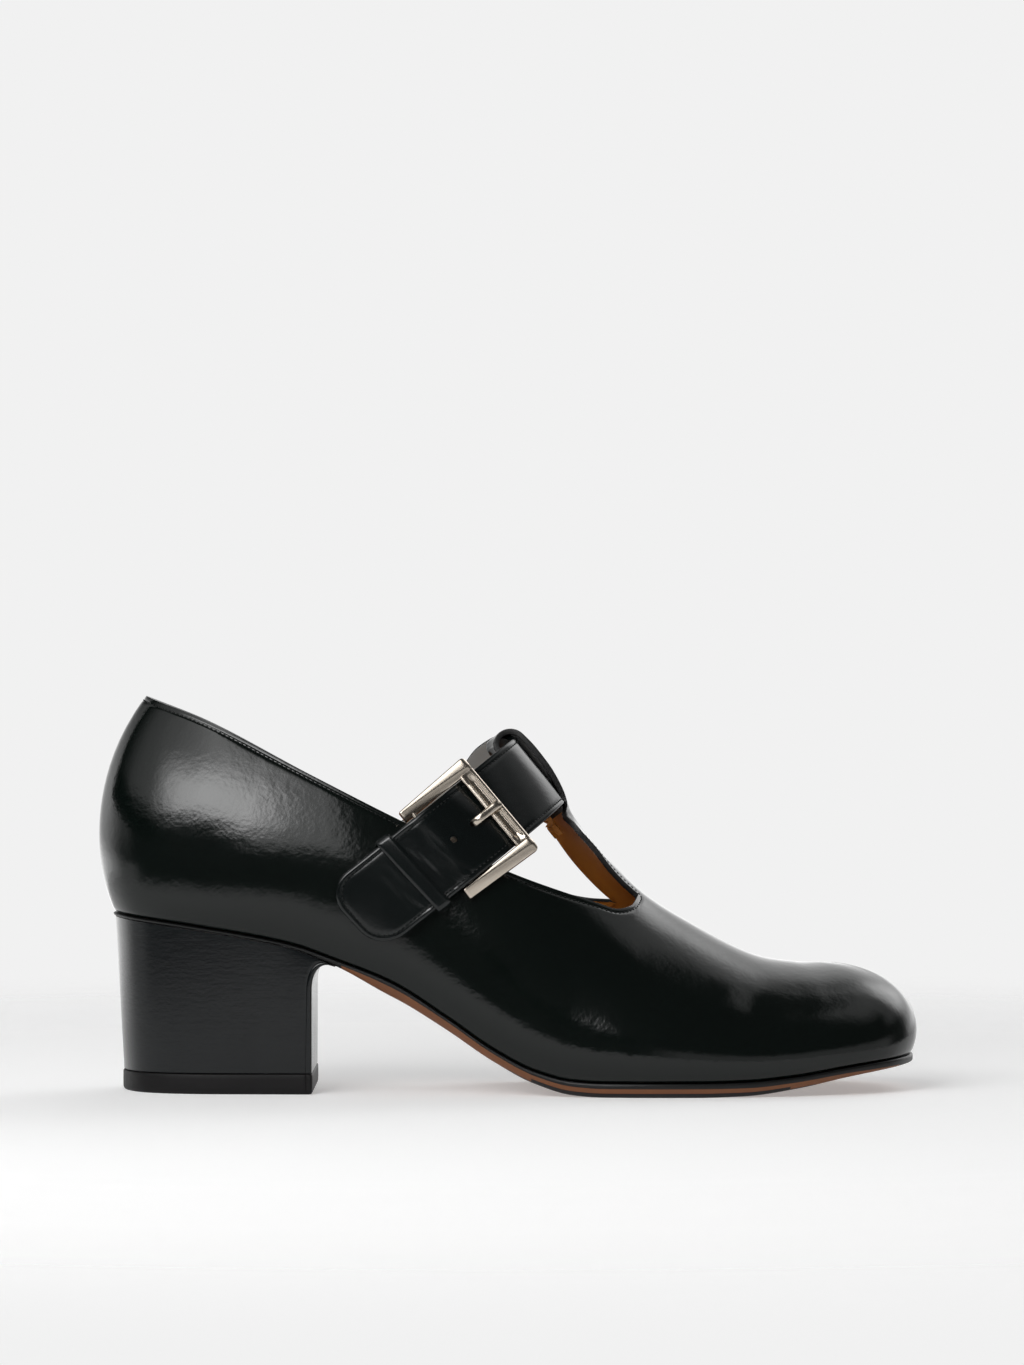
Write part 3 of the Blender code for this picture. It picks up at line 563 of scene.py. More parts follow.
# Calf, dyed deep bottle green and brushed to a polish: sharp, slightly ragged reflections.
POLISHED_CALF = finish_with(
    "polished_calf", ("#060b09", "#090f0d"), 30.0, (0.09, 0.15),
    ((11.0, 0.06, EVEN), (3.2, 0.05, EVEN), (1.1, 0.022, EVEN)), IOR=1.42)
# The same calf on the strap, creased by fitting: softer reflections.
STRAP_CALF = finish_with(
    "strap_calf", ("#060a0a", "#0a1010"), 20.0, (0.14, 0.22),
    ((5.0, 0.03, EVEN), (1.4, 0.02, EVEN), (0.8, 0.01, EVEN)), IOR=1.45)
# Calf stretched round the heel block: fine level brush marks.
HEEL_CALF = finish_with(
    "heel_cover_calf", ("#05080a", "#090e10"), 25.0, (0.14, 0.24),
    ((2.2, 0.02, LEVEL), (1.0, 0.02, EVEN)), IOR=1.43)
# Cut leather edges, stained and waxed: dark satin. The same dark is also painted shade inside the T-bar's
# loop, on a strip beside the bar's cut edge and on the sole's lowest bands.
EDGE_INK_AND_SHADE = finish_with(
    "inked_leather_edge", ("#060707", "#0b0b0b"), 6.0, (0.34, 0.48), ((0.8, 0.01, EVEN),), IOR=1.4)
# Vegetable-tanned lining leather, unpolished: warm, matt, finely grained.
LINING = finish_with(
    "tan_lining_leather", ("#bd7a30", "#a96a26"), 14.0, (0.5, 0.65),
    ((1.2, 0.02, EVEN), (0.5, 0.008, EVEN)))
# Lining on the strap's inner face: grey, smooth, dull; its grey is partly real and partly lightened as a
# painted sheen.
STRAP_LINING_SHEEN = finish_with(
    "grey_lining_leather", ("#8c8d8b", "#989996"), 12.0, (0.4, 0.5), ((0.9, 0.012, EVEN),))
# Oak-bark sole leather, scraped and waxed: tan with streaks.
SOLE_TAN = finish_with(
    "tan_sole_leather", ("#754521", "#633819"), 9.0, (0.42, 0.58),
    ((1.5, 0.015, LEVEL), (0.5, 0.008, EVEN)))
# Moulded rubber: matt, faintly speckled.
RUBBER = finish_with(
    "moulded_rubber", ("#0c0b0c", "#121112"), 5.0, (0.45, 0.6), ((0.5, 0.012, EVEN),), IOR=1.3)
# Cast zinc plated with nickel and polished: warm, with faint waves.
NICKEL = finish_with(
    "polished_nickel_plate", ("#cdc3b6", "#bfb4a6"), 8.0, (0.16, 0.24),
    ((4.0, 0.006, EVEN),), Metallic=1.0)
# Waxed thread in the leather's colour.
THREAD = finish_with(
    "waxed_thread", ("#070a09", "#0c100f"), 2.0, (0.5, 0.65), ((0.3, 0.02, EVEN),), IOR=1.35)


# Stitches

STITCH_PITCH = 1.5
STITCH_LENGTH = 0.95
THREAD_RADIUS = 0.26
SEAM_SMOOTHING = 4


def stitch_tree():
    """Stitches of one length, set out at one pitch along a line."""
    tree = bpy.data.node_groups.new("stitches along a line", "GeometryNodeTree")
    sockets = {}
    tree.interface.new_socket("Line", in_out="INPUT", socket_type="NodeSocketGeometry")
    for name in ("Pitch", "Stitch Length", "Thread Radius"):
        size = tree.interface.new_socket(name, in_out="INPUT", socket_type="NodeSocketFloat")
        sockets[name] = size.identifier
    tree.interface.new_socket("Stitches", in_out="OUTPUT", socket_type="NodeSocketGeometry")
    given = add_node(tree, "NodeGroupInput").outputs
    line = add_node(tree, "GeometryNodeMeshToCurve", Mesh=given["Line"])
    even = add_node(tree, "GeometryNodeResampleCurve", {"mode": "LENGTH"}, Curve=line.outputs[0],
                    Length=given["Pitch"])
    spots = add_node(tree, "GeometryNodeCurveToPoints", {"mode": "EVALUATED"}, Curve=even.outputs[0])
    half = add_node(tree, "ShaderNodeMath", {"operation": "MULTIPLY"}, _0=given["Stitch Length"], _1=0.5)
    size = add_node(tree, "ShaderNodeCombineXYZ", X=given["Thread Radius"], Y=given["Thread Radius"],
                    Z=half.outputs[0])
    bead = add_node(tree, "GeometryNodeMeshUVSphere", Segments=6, Rings=5, Radius=1.0)
    thread = add_node(tree, "GeometryNodeTransform", Geometry=bead.outputs[0], Scale=size.outputs[0])
    laid = add_node(tree, "GeometryNodeInstanceOnPoints", Points=spots.outputs["Points"],
                    Instance=thread.outputs[0], Rotation=spots.outputs["Rotation"])
    real = add_node(tree, "GeometryNodeRealizeInstances", Geometry=laid.outputs[0])
    soft = add_node(tree, "GeometryNodeSetShadeSmooth", Geometry=real.outputs[0])
    done = add_node(tree, "GeometryNodeSetMaterial", Geometry=soft.outputs[0], Material=THREAD)
    add_node(tree, "NodeGroupOutput", Stitches=done.outputs[0])
    return tree, sockets


STITCHES, STITCH_SOCKETS = stitch_tree()


def sew(name, lines, slot):
    """Sews along lines of points that are already in the row frame."""
    points = []
    edges = []
    for line in lines:
        start = len(points)
        points += line
        edges += [(start + i, start + i + 1) for i in range(len(line) - 1)]
    mesh = bpy.data.meshes.new(name)
    mesh.from_pydata(points, edges, [])
    obj = bpy.data.objects.new(name, mesh)
    bpy.context.scene.collection.objects.link(obj)
    needle = obj.modifiers.new("sew", "NODES")
    needle.node_group = STITCHES
    sizes = {"Pitch": STITCH_PITCH, "Stitch Length": STITCH_LENGTH, "Thread Radius": THREAD_RADIUS}
    for key, value in sizes.items():
        needle[STITCH_SOCKETS[key]] = value * MM
    dress(settle(obj), slot)


def inside_edge(edge, surface, inset, lift):
    """A line on the leather at an even distance inside a cut edge, in the row frame."""
    line = []
    count = len(edge)
    for i in range(count):
        along = (edge[min(i + 2, count - 1)] - edge[max(i - 2, 0)]).normalized()
        normal = surface.find_nearest(edge[i])[1]
        guesses = [edge[i] + normal.cross(along) * (turn * inset * MM) for turn in (1.0, -1.0)]
        found = [surface.find_nearest(guess) for guess in guesses]
        line.append(min(found, key=lambda hit: hit[3])[0])
    for _ in range(SEAM_SMOOTHING):
        inner = [(line[i - 1] + line[i] * 2 + line[i + 1]) / 4 for i in range(1, count - 1)]
        line = line[:1] + inner + line[-1:]
    laid = []
    for point in line:
        spot, facing, _, _ = surface.find_nearest(point)
        laid.append(spot + facing * (lift * MM))
    return laid


# Upper

EDGE_STEPS = (0.0, 0.3, 0.65, 0.95, 1.25, 1.5, 1.75, 2.05, 2.4, 3.0, 3.8, 4.8)
EDGE_CLEAR = 1.4
LEVEL_COLUMNS = 24
STRIP_COLUMNS = 10
EVEN_TOP = 0.6
ROWS_PER_SECTION = 16
T_BAR_ROWS = 44
FOLD_ROWS = 20
RETURN_ROWS = 26
THROAT_ROWS = (0.5, 0.2, 40)
ROW_CLEAR = 0.009
# The hem that is lasted under: distance outside the feather edge, height.
HEM = ((-LASTING_MARGIN, 0.0), (-0.9, 0.0), (-0.3, 0.06), (-0.02, 0.3))
RETURN_ROUNDING = 2.4
# Finishes of the upper's outer face, inner face and cut edge: most of it, the loop, the
# loop's return, and a strip beside the bar's cut edge that is inked dark as painted shade.
UPPER_FINISHES = (POLISHED_CALF, LINING, EDGE_INK_AND_SHADE, POLISHED_CALF, EDGE_INK_AND_SHADE, EDGE_INK_AND_SHADE,
                  LINING, LINING, LINING, EDGE_INK_AND_SHADE, EDGE_INK_AND_SHADE, EDGE_INK_AND_SHADE)
# The loop's inner face takes the dark ink in place of the tan lining: painted shade inside the loop.
LOOP_MARK = 3
RETURN_MARK = 6
SHADE_STRIP_MARK = 9
# Painted shade: the cut edge's dark ink runs on to this many of the bar's outer columns, from this climb to
# the loop.
SHADE_STRIP_CLIMB = -29.0
SHADE_STRIP_COLUMNS = 2
# The seam along the topline: distance from the cut edge, how deep its thread lies, and its trough.
TOPLINE_INSET = 1.5
TOPLINE_SINK = 0.18
TOPLINE_STEP = 0.7
TOPLINE_TROUGH = 0.24
TROUGH_HALF = 0.45
TROUGH_REACH = 2.0
EDGE_ROLL = 0.5
EDGE_ROLL_ANGLE = math.radians(55.0)

# Soft dents and swells pressed into the upper, in side view: side, x, z, direction in
# degrees, half length, half width, height (a minus sinks in).
Crease = namedtuple("Crease", "side x z turn long wide height")
CREASES = [Crease(*row) for row in (
    (OUTER, 195.0, 26.5, 62.0, 7.0, 4.5, -0.32),
    (OUTER, 186.0, 28.5, 58.0, 8.0, 4.5, 0.18),
    (OUTER, 203.5, 25.0, 66.0, 6.0, 4.0, 0.12),
    (OUTER, 150.0, 45.0, 30.0, 9.0, 4.0, -0.15),
    (OUTER, 112.0, 42.0, -52.0, 16.0, 5.0, -0.18),
    (OUTER, 30.0, 66.0, 80.0, 12.0, 6.0, -0.15),
    (INNER, 192.0, 27.0, 64.0, 8.0, 5.0, -0.3),
    (INNER, 110.0, 40.0, -50.0, 15.0, 6.0, -0.2),
)]


def wall_places(side, s, top):
    """How far up a section each wall column lies: level low down, fine below the cut edge."""
    steps = 48
    places = [top * (1.0 - k / steps) for k in range(steps + 1)]
    drops = [0.0]
    before = last_point(side, s, top)
    for v in places[1:]:
        point = last_point(side, s, v)
        drops.append(drops[-1] + (point - before).length)
        before = point

    def below(drop):
        i = min(max(bisect.bisect_left(drops, drop), 1), steps)
        t = (drop - drops[i - 1]) / (drops[i] - drops[i - 1])
        return places[i - 1] + (places[i] - places[i - 1]) * t
    fine = [below(drop) for drop in reversed(EDGE_STEPS)]
    reach = below(EDGE_STEPS[-1] + EDGE_CLEAR)
    even = min(EVEN_TOP, reach)
    low = []
    for k in range(1, LEVEL_COLUMNS + 1):
        f = k / LEVEL_COLUMNS
        low.append(even * f + (reach - even) * f ** 4)
    return low + fine


def build_upper():
    """The upper's outer face: side walls, vamp, T-bar and loop, and the line of its cut edge."""
    throats = {side: throat_place(side) for side in (OUTER, INNER)}
    base = min(throats.values())
    wanted = set(spread(0.0, TIP, TIP * ROWS_PER_SECTION))
    before, after, count = THROAT_ROWS
    for throat in throats.values():
        wanted |= set(spread(throat - before, throat + after, count))
    fixed = set(throats.values()) | {0.0, float(TIP)}
    places = sorted(fixed)
    for s in sorted(wanted):
        if min(abs(s - kept) for kept in places) > ROW_CLEAR:
            places.append(s)
    places.sort()
    points = []
    faces = []

    def put(point):
        points.append(point)
        return len(points) - 1

    def strip(centre, edges, inside):
        """One row across the T-bar, from its outer to its inner edge."""
        return ([edges[OUTER]] + [put(inside(OUTER, k)) for k in range(1, STRIP_COLUMNS)] + [centre]
                + [put(inside(INNER, k)) for k in range(STRIP_COLUMNS - 1, 0, -1)] + [edges[INNER]])

    walls = {OUTER: [], INNER: []}
    crowns = []
    toplines = {OUTER: [], INNER: []}
    bar_edges = {OUTER: [], INNER: []}
    for s in places:
        edges = {}
        tops = {}
        for side in (OUTER, INNER):
            edge = edge_place(side, s, bar_half(side, s, throats[side])) if s >= base else 1.0
            joined = s >= throats[side]
            top = edge if joined else topline_place(side, s)
            wall = []
            for grow, rise in HEM:
                hem = foot_outline(side, s, grow)
                wall.append(put(Vector((hem.x, hem.y, feather(hem.x) + rise))))
            wall += [put(last_point(side, s, v)) for v in wall_places(side, s, top)]
            walls[side].append(wall)
            tops[side] = edge
            if s <= throats[side]:
                toplines[side].append(points[wall[-1]])
            if s >= base:
                edges[side] = wall[-1] if joined else put(last_point(side, s, edge))
                if s <= throats[side]:
                    bar_edges[side].append(points[edges[side]])
        if s >= base:
            def across(side, k):
                edge = tops[side]
                return last_point(side, s, edge + (1.0 - edge) * k / STRIP_COLUMNS)
            crowns.append(strip(put(last_point(INNER, s, 1.0)), edges, across))

    bar = []
    start = last_point(INNER, base, 1.0).dot(UP_RIDGE)
    lift = curve_through(T_BAR_LIFT)
    back = curve_through(list(reversed(T_BAR_RETURN)))
    fold = T_BAR_LIFT[-1][0]
    middle = 0.5 * (lift(fold) + back(fold))
    radius = 0.5 * (lift(fold) - back(fold))
    taper = curve_through(T_BAR_TAPER)
    slim = curve_through(T_BAR_SLIM)
    shift = curve_through(T_BAR_SHIFT)
    rolls = {side: curve_through(T_BAR_ROLL[side]) for side in walls}
    path = []
    for climb in spread(start, fold, T_BAR_ROWS)[1:]:
        # Rows of the loop get the dark ink on their inner face, as painted shade.
        mark = LOOP_MARK if climb > LOOP_CLIMB else 0
        path.append((climb, lift(climb), slim(climb), taper(climb), 1.0, mark))
    for turn in spread(0.0, math.pi, FOLD_ROWS)[1:]:
        climb = fold + radius * math.sin(turn)
        path.append((climb, middle + radius * math.cos(turn), slim(fold), taper(fold),
                     0.5 + 0.5 * math.cos(turn), LOOP_MARK))
    end = T_BAR_RETURN[-1][0]
    for climb in spread(fold, end, RETURN_ROWS)[1:]:
        rounding = 1.0 - (1.0 - RETURN_END_SHARE) * bell((climb - end) / RETURN_ROUNDING) ** 2
        wide = taper(fold) + RETURN_SPREAD * ease((fold - climb) / (fold - end))
        path.append((climb, back(climb), slim(fold), wide * rounding, 0.0, RETURN_MARK))
    for climb, height, kept_outer, kept_inner, rolled, _ in path:
        share = ease((climb - start) / (T_BAR_FREE_CLIMB - start))
        s = ridge_place(round(climb, 3))

        def at(side, k):
            to_edge = 1.0 - k / STRIP_COLUMNS
            out = T_BAR_HALF[side] * to_edge * (kept_inner if side == INNER else kept_outer)
            roll = rolls[side](climb) * rolled * to_edge ** 1.5
            belted = belt_point(climb, side * out + shift(climb), height + roll)
            if share >= 1.0:
                return belted
            place = edge_place(side, s, out) if out > 0.0 else 1.0
            return last_point(side, s, place).lerp(belted, share)
        row = strip(put(at(INNER, STRIP_COLUMNS)), {side: put(at(side, 0)) for side in walls}, at)
        bar.append(row)
    up_bar = {OUTER: [points[row[0]] for row in bar], INNER: [points[row[-1]] for row in bar]}

    for side in walls:
        for first, second in zip(walls[side], walls[side][1:]):
            faces += quads_between(first, second)
    for first, second in zip(crowns, crowns[1:]):
        faces += quads_between(first, second)
    marks = [0] * len(faces)
    for first, second, row in zip([crowns[0]] + bar, bar, path):
        faces += quads_between(first, second)
        # Painted shade: the bar's outer columns below the loop take the dark ink on both faces.
        shaded_columns = SHADE_STRIP_COLUMNS if row[-1] == 0 and row[0] > SHADE_STRIP_CLIMB else 0
        marks += [SHADE_STRIP_MARK] * shaded_columns + [row[-1]] * (len(first) - 1 - shaded_columns)

    sewn = sum(1 for row in path[:T_BAR_ROWS] if row[0] < SEAM_TOP_CLIMB)
    cut_edge = []
    for side in (OUTER, INNER):
        line = list(reversed(up_bar[side][:sewn])) + bar_edges[side] + list(reversed(toplines[side]))[1:]
        cut_edge += line if side == OUTER else list(reversed(line))[1:]
    return points, faces, marks, [in_row(p) for p in cut_edge]


def crease_height(point):
    """How far the creases raise or sink the upper at a point."""
    total = 0.0
    for crease in CREASES:
        if point.y * crease.side < 0.0:
            continue
        turn = math.radians(crease.turn)
        dx, dz = point.x - crease.x, point.z - crease.z
        along = dx * math.cos(turn) + dz * math.sin(turn)
        across = dz * math.cos(turn) - dx * math.sin(turn)
        total += crease.height * bell(along / crease.long) * bell(across / crease.wide)
    return total


def even_spacing(line, step):
    """The same line with points at an even step."""
    made = [line[0]]
    left = step
    for first, second in zip(line, line[1:]):
        run = (second - first).length
        while run >= left and run > 0.0:
            first = first.lerp(second, left / run)
            made.append(first)
            run -= left
            left = step
        left -= run
    return made


def make_upper():
    """The upper's leather wall, creased, sewn along its topline and rolled at its cut edges."""
    points, faces, marks, cut_edge = build_upper()
    upper = add_piece("upper_leather", points, faces, UPPER_FINISHES, marks)
    mesh = upper.data
    cut_edge = even_spacing(cut_edge, TOPLINE_STEP * MM)
    moved = []
    for vertex in mesh.vertices:
        moved.append(vertex.co + vertex.normal * (crease_height(vertex.co / MM - SHIFT) * MM))
    for vertex, spot in zip(mesh.vertices, moved):
        vertex.co = spot
    mesh.update()
    surface = BVHTree.FromPolygons([v.co for v in mesh.vertices], [p.vertices for p in mesh.polygons])
    seam = inside_edge(cut_edge, surface, TOPLINE_INSET, -TOPLINE_SINK)
    finder = BVHTree.FromPolygons(seam, [(i, i + 1, i + 1) for i in range(len(seam) - 1)])
    for vertex in mesh.vertices:
        away = finder.find_nearest(vertex.co, TROUGH_REACH * MM)[3]
        if away is not None:
            vertex.co -= vertex.normal * (TOPLINE_TROUGH * bell(away / (TROUGH_HALF * MM)) * MM)
    wall = upper.modifiers.new("wall", "SOLIDIFY")
    wall.thickness = WALL * MM
    wall.offset = -1.0
    wall.material_offset = 1
    wall.material_offset_rim = 2
    edge = upper.modifiers.new("rolled edge", "BEVEL")
    edge.width = EDGE_ROLL * MM
    edge.segments = 3
    edge.limit_method = "ANGLE"
    edge.angle_limit = EDGE_ROLL_ANGLE
    dress(settle(upper), "polished_leather", "upper")
    sew("topline_stitches", [seam], "polished_leather")


make_upper()


# Bottom

SOLE_ROWS = spread(0.0, TIP, TIP * 10)
BOTTOM_COLUMNS = 10
# The sole's bevel is left tan between these places and inked at the heel seat and the toe.
TAN_EDGE = (73.0, 238.0)
# Its two lowest bands are painted dark between these places, as painted contact shade where the sole stands
# on the floor.
SHADED_SOLE_FOOT = ((122.0, 212.0), (130.0, 204.0))
# The bevel's rounding: share of its inset, share of its height.
BEVEL_BANDS = ((1.0, 0.0), (0.62, 0.14), (0.28, 0.5), (0.06, 0.88), (0.0, 1.0))
# The edge above the bevel: distance outside the feather edge, distance below the sole's top.
EDGE_BANDS = ((SOLE_EDGE + 0.05, 0.9), (SOLE_EDGE, 0.35), (SOLE_EDGE - 0.3, 0.05), (-2.0, 0.0))
# The part of a thin sole that the edge takes at most.
EDGE_SHARE = 0.4
# The sock lining's edge: distance outside the feather edge, height above it.
SOCK_BANDS = ((-LASTING_MARGIN - 0.2, 0.05), (-2.3, 1.4), (-1.9, 2.1), (-2.1, 2.5), (-2.6, 2.6))
SOCK_DISH = 0.7


def sole_under(x):
    return feather(x) - GAP - sole_thickness(x)


def outline_loop(grow, height):
    """A loop round the shoe's outline: heel to toe on the outer side, and back on the inner."""
    loop = []
    for side, rows in ((OUTER, SOLE_ROWS), (INNER, list(reversed(SOLE_ROWS)))):
        for s in rows:
            plan = foot_outline(side, s, grow(foot_outline(side, s).x))
            loop.append(Vector((plan.x, plan.y, height(plan.x))))
    return loop


def close_across(points, loop, faces, dish):
    """Fills a loop with rows of quads from its outer to its inner side, dished in the middle."""
    count = len(SOLE_ROWS)
    rows = []
    for i in range(count):
        first, last = loop[i], loop[2 * count - 1 - i]
        row = [first]
        for k in range(1, BOTTOM_COLUMNS):
            t = k / BOTTOM_COLUMNS
            point = points[first].lerp(points[last], t)
            point.z -= dish * (1.0 - (2 * t - 1) ** 2)
            points.append(point)
            row.append(len(points) - 1)
        rows.append(row + [last])
    for first, second in zip(rows, rows[1:]):
        faces += quads_between(first, second)


def ring_stack(loops, dish=0.0):
    """A closed stack of outline loops: its points, faces and the number of faces up to each ring."""
    points, rings = stack(loops)
    faces = []
    counts = []
    for first, second in zip(rings, rings[1:]):
        faces += quads_between(first + first[:1], second + second[:1])
        counts.append(len(faces))
    close_across(points, rings[0], faces, 0.0)
    close_across(points, rings[-1], faces, dish)
    return points, faces, counts


def make_outsole():
    """Leather sole: tan below and on the bevel, inked black on the edge above it, and painted dark as contact
    shade low on the bevel where it stands on the floor.
    """
    def low(share):
        return lambda x: sole_under(x) + bevel_height(x) * share

    def inset(share):
        return lambda x: SOLE_EDGE - bevel_inset(x) * share

    def below_top(down):
        return lambda x: feather(x) - GAP - min(down, EDGE_SHARE * sole_thickness(x))
    loops = [outline_loop(inset(wide), low(tall)) for wide, tall in BEVEL_BANDS]
    loops += [outline_loop(lambda x, grow=grow: grow, below_top(down)) for grow, down in EDGE_BANDS]
    points, faces, counts = ring_stack(loops)
    tan_to, ink_to = counts[3], counts[-1]
    marks = [0 if i < tan_to or i >= ink_to else 1 for i in range(len(faces))]
    middles = [sum((points[k].x for k in face)) / len(face) for face in faces]
    for i in range(tan_to):
        if not TAN_EDGE[0] < middles[i] < TAN_EDGE[1]:
            marks[i] = 1
    # Painted shade: the bevel's two lowest bands go dark where the sole stands on the floor.
    for (first, last), low_face, high_face in zip(SHADED_SOLE_FOOT, (0, counts[0]), counts):
        for i in range(low_face, high_face):
            if first < middles[i] < last:
                marks[i] = 1
    sole = add_piece("outsole_leather", points, faces, (SOLE_TAN, EDGE_INK_AND_SHADE), marks)
    dress(settle(sole), "sole_leather", "outsole")


def make_sock():
    """Sock lining over the insole board, dished a little under the foot."""
    loops = [outline_loop(lambda x, grow=grow: grow, lambda x, up=up: feather(x) + up)
             for grow, up in SOCK_BANDS]
    points, faces, _ = ring_stack(loops, SOCK_DISH)
    sock = add_piece("sock_lining", points, faces, (LINING,))
    dress(settle(sock), "lining_leather", "insole")


# Length of the heel seat from one row of the last to the next, and the rows the breast lies between.
SEAT_PITCH = 28.0
BREAST_ROWS = (3.0, 6.0)
# The breast's corner: distance back from its lip, depth of the groove and of the rounding.
BREAST_CORNER = ((3.4, 0.0), (2.6, 0.0), (2.15, 0.05), (1.9, 0.22), (1.65, 0.05), (1.2, 0.0),
                 (0.7, 0.0), (0.35, 0.04), (0.1, 0.18))
HEEL_SIDE_END = 4.6
HEEL_SIDE_STEPS = 44
HEEL_INSET = 0.2
BREAST_STEPS = (0.006, 0.02, 0.06, 0.15, 0.3, 0.5, 0.7, 0.85, 0.94, 0.98, 0.994)
BREAST_PUFF = 0.3
BREAST_PUFF_EDGE = 0.02


def heel_ring(level):
    """One ring of the heel, from its foot (0) to the seat (1), with the breast's fillet."""
    last = solve(*BREAST_ROWS, lambda s: section(OUTER, s)[0].x > BREAST_LIP_X)
    dents = {last - back / SEAT_PITCH: depth for back, depth in BREAST_CORNER}
    first_x = foot_outline(OUTER, 0.0).x
    past = max(0.0, (level - BREAST_FILLET_START) / (1.0 - BREAST_FILLET_START))
    flare = 1.0 - math.sqrt(1.0 - past * past)
    foot_z = LIFT_HEIGHT + GAP
    sides = []
    for side in (OUTER, INNER):
        run = []
        for s in spread(0.0, last - HEEL_SIDE_END / SEAT_PITCH, HEEL_SIDE_STEPS) + list(dents):
            p = foot_outline(side, s, -HEEL_INSET - dents.get(s, 0.0))
            q = min(max((p.x - first_x) / (BREAST_LIP_X - first_x), 0.0), 1.0)
            foot_x = HEEL_BACK_FOOT + q * (BREAST_X - HEEL_BACK_FOOT)
            share = level * (1.0 - q ** 3) + flare * q ** 3
            x = foot_x + (p.x - foot_x) * share
            y = p.y * (HEEL_FOOT_SCALE + (1.0 - HEEL_FOOT_SCALE) * level)
            run.append(Vector((x, y, foot_z + level * (sole_under(x) - GAP - foot_z))))
        sides.append(run)
    outer, inner = sides
    across = []
    for t in BREAST_STEPS:
        point = outer[-1].lerp(inner[-1], t)
        point.x += BREAST_PUFF * (1.0 - flare) * min(min(t, 1.0 - t) / BREAST_PUFF_EDGE, 1.0) ** 0.5
        across.append(point)
    return outer + across + list(reversed(inner))[:-1]


def make_heel():
    """Block heel under its leather cover, with finer rings in the breast's fillet."""
    levels = spread(0.0, BREAST_FILLET_START, 16) + spread(BREAST_FILLET_START, 1.0, 24)[1:]
    heel = add_piece("heel_cover", *skin([heel_ring(level) for level in levels]), (HEEL_CALF,))
    dress(settle(heel), "heel_cover_leather", "heel")


# The top lift's side: distance outside the heel's foot, height.
TOP_LIFT_BANDS = ((-0.7, 0.0), (-0.3, 0.08), (0.0, 0.32), (0.22, 0.8), (0.28, 2.0), (0.28, 4.4),
                  (0.25, 5.5), (0.1, 5.85), (-0.25, LIFT_HEIGHT))


def make_top_lift():
    """Rubber tip with a worn-soft lower edge, standing a little proud of the heel cover."""
    centre = Vector((0.5 * (HEEL_BACK_FOOT + BREAST_X), 0.0, 0.0))
    foot = heel_ring(0.0)
    loops = []
    for grow, z in TOP_LIFT_BANDS:
        loop = []
        for p in foot:
            out = Vector((p.x - centre.x, p.y, 0.0)).normalized()
            loop.append(Vector((p.x + out.x * grow, p.y + out.y * grow, z)))
        loops.append(loop)
    lift = add_piece("top_lift_rubber", *skin(loops), (RUBBER,))
    dress(settle(lift), "lift_rubber", "top_lift")


make_outsole()
make_sock()
make_heel()
make_top_lift()


# Strap and keeper

def strap_places():
    """Distances along the strap from the ridge, minus on the outer side."""
    names = ("tip", "keeper", "heel_bar", "spare", "slot", "outer_bar")
    spots = (TIP_X, KEEPER_X, HEEL_BAR_X, SPARE_HOLE_X, SLOT_X, OUTER_BAR_X)
    places = {name: belt_distance(OUTER, x) for name, x in zip(names, spots)}
    places["inner"] = belt_distance(INNER, INNER_TOUCH_X)
    places["end"] = belt_distance(INNER, INNER_END_X)
    return places


PLACES = strap_places()
strap_rise = curve_through(STRAP_RISE)
strap_way = curve_through([
    (PLACES["tip"], LIFT_TIP), (PLACES["keeper"], LIFT_KEEPER),
    (PLACES["heel_bar"], LIFT_HEEL_BAR), (PLACES["slot"], LIFT_SLOT),
    (PLACES["outer_bar"], LIFT_OUTER_BAR), (CREST_FROM, LIFT_CREST), (CREST_TO, LIFT_CREST),
    (PLACES["inner"], LIFT_INNER), (PLACES["end"], LIFT_INNER)])
# How far the strap leans out at its upper edge, as rise of its lift across the width.
strap_tilt = curve_through([
    (PLACES["tip"], -0.05), (PLACES["keeper"], 0.03), (PLACES["spare"], 0.11), (PLACES["slot"], 0.06),
    (PLACES["outer_bar"], 0.0), (CREST_FROM, 0.04), (CREST_TO, 0.04), (PLACES["inner"], 0.0),
    (PLACES["end"], 0.0)])
BEND_REACH = 5.0
BEND_STEPS = 8
AXIS_REACH = 10.0


@lru_cache(maxsize=None)
def strap_lift(u):
    """Lift of the strap's under face, with the leather's stiffness softening each bend."""
    steps = range(-BEND_STEPS, BEND_STEPS + 1)
    weights = [1.0 - abs(k) / (BEND_STEPS + 1) for k in steps]
    lifts = [strap_way(u + BEND_REACH * k / BEND_STEPS) for k in steps]
    return sum(w * h for w, h in zip(weights, lifts)) / sum(weights)


def buckle_frame_axes():
    """Origin on the heel bar, with axes to the outer bar, across the strap and outwards."""
    bar_at, outer_at = PLACES["heel_bar"], PLACES["outer_bar"]
    origin = belt_point(STRAP_CLIMB, bar_at, BAR_LIFT)
    ahead = belt_point(STRAP_CLIMB, outer_at, OUTER_BAR_LIFT) - origin
    reach = ahead.length
    ahead.normalize()
    across = belt_point(STRAP_CLIMB + AXIS_REACH, bar_at, 0.0)
    across -= belt_point(STRAP_CLIMB - AXIS_REACH, bar_at, 0.0)
    across = (across - ahead * across.dot(ahead)).normalized()
    outward = ahead.cross(across)
    if outward.y > 0.0:
        outward.negate()
    return origin, ahead, across, outward, reach


ORIGIN, AHEAD, ACROSS, OUTWARD, REACH = buckle_frame_axes()


def in_buckle(a, b, h):
    return ORIGIN + AHEAD * a + ACROSS * b + OUTWARD * h


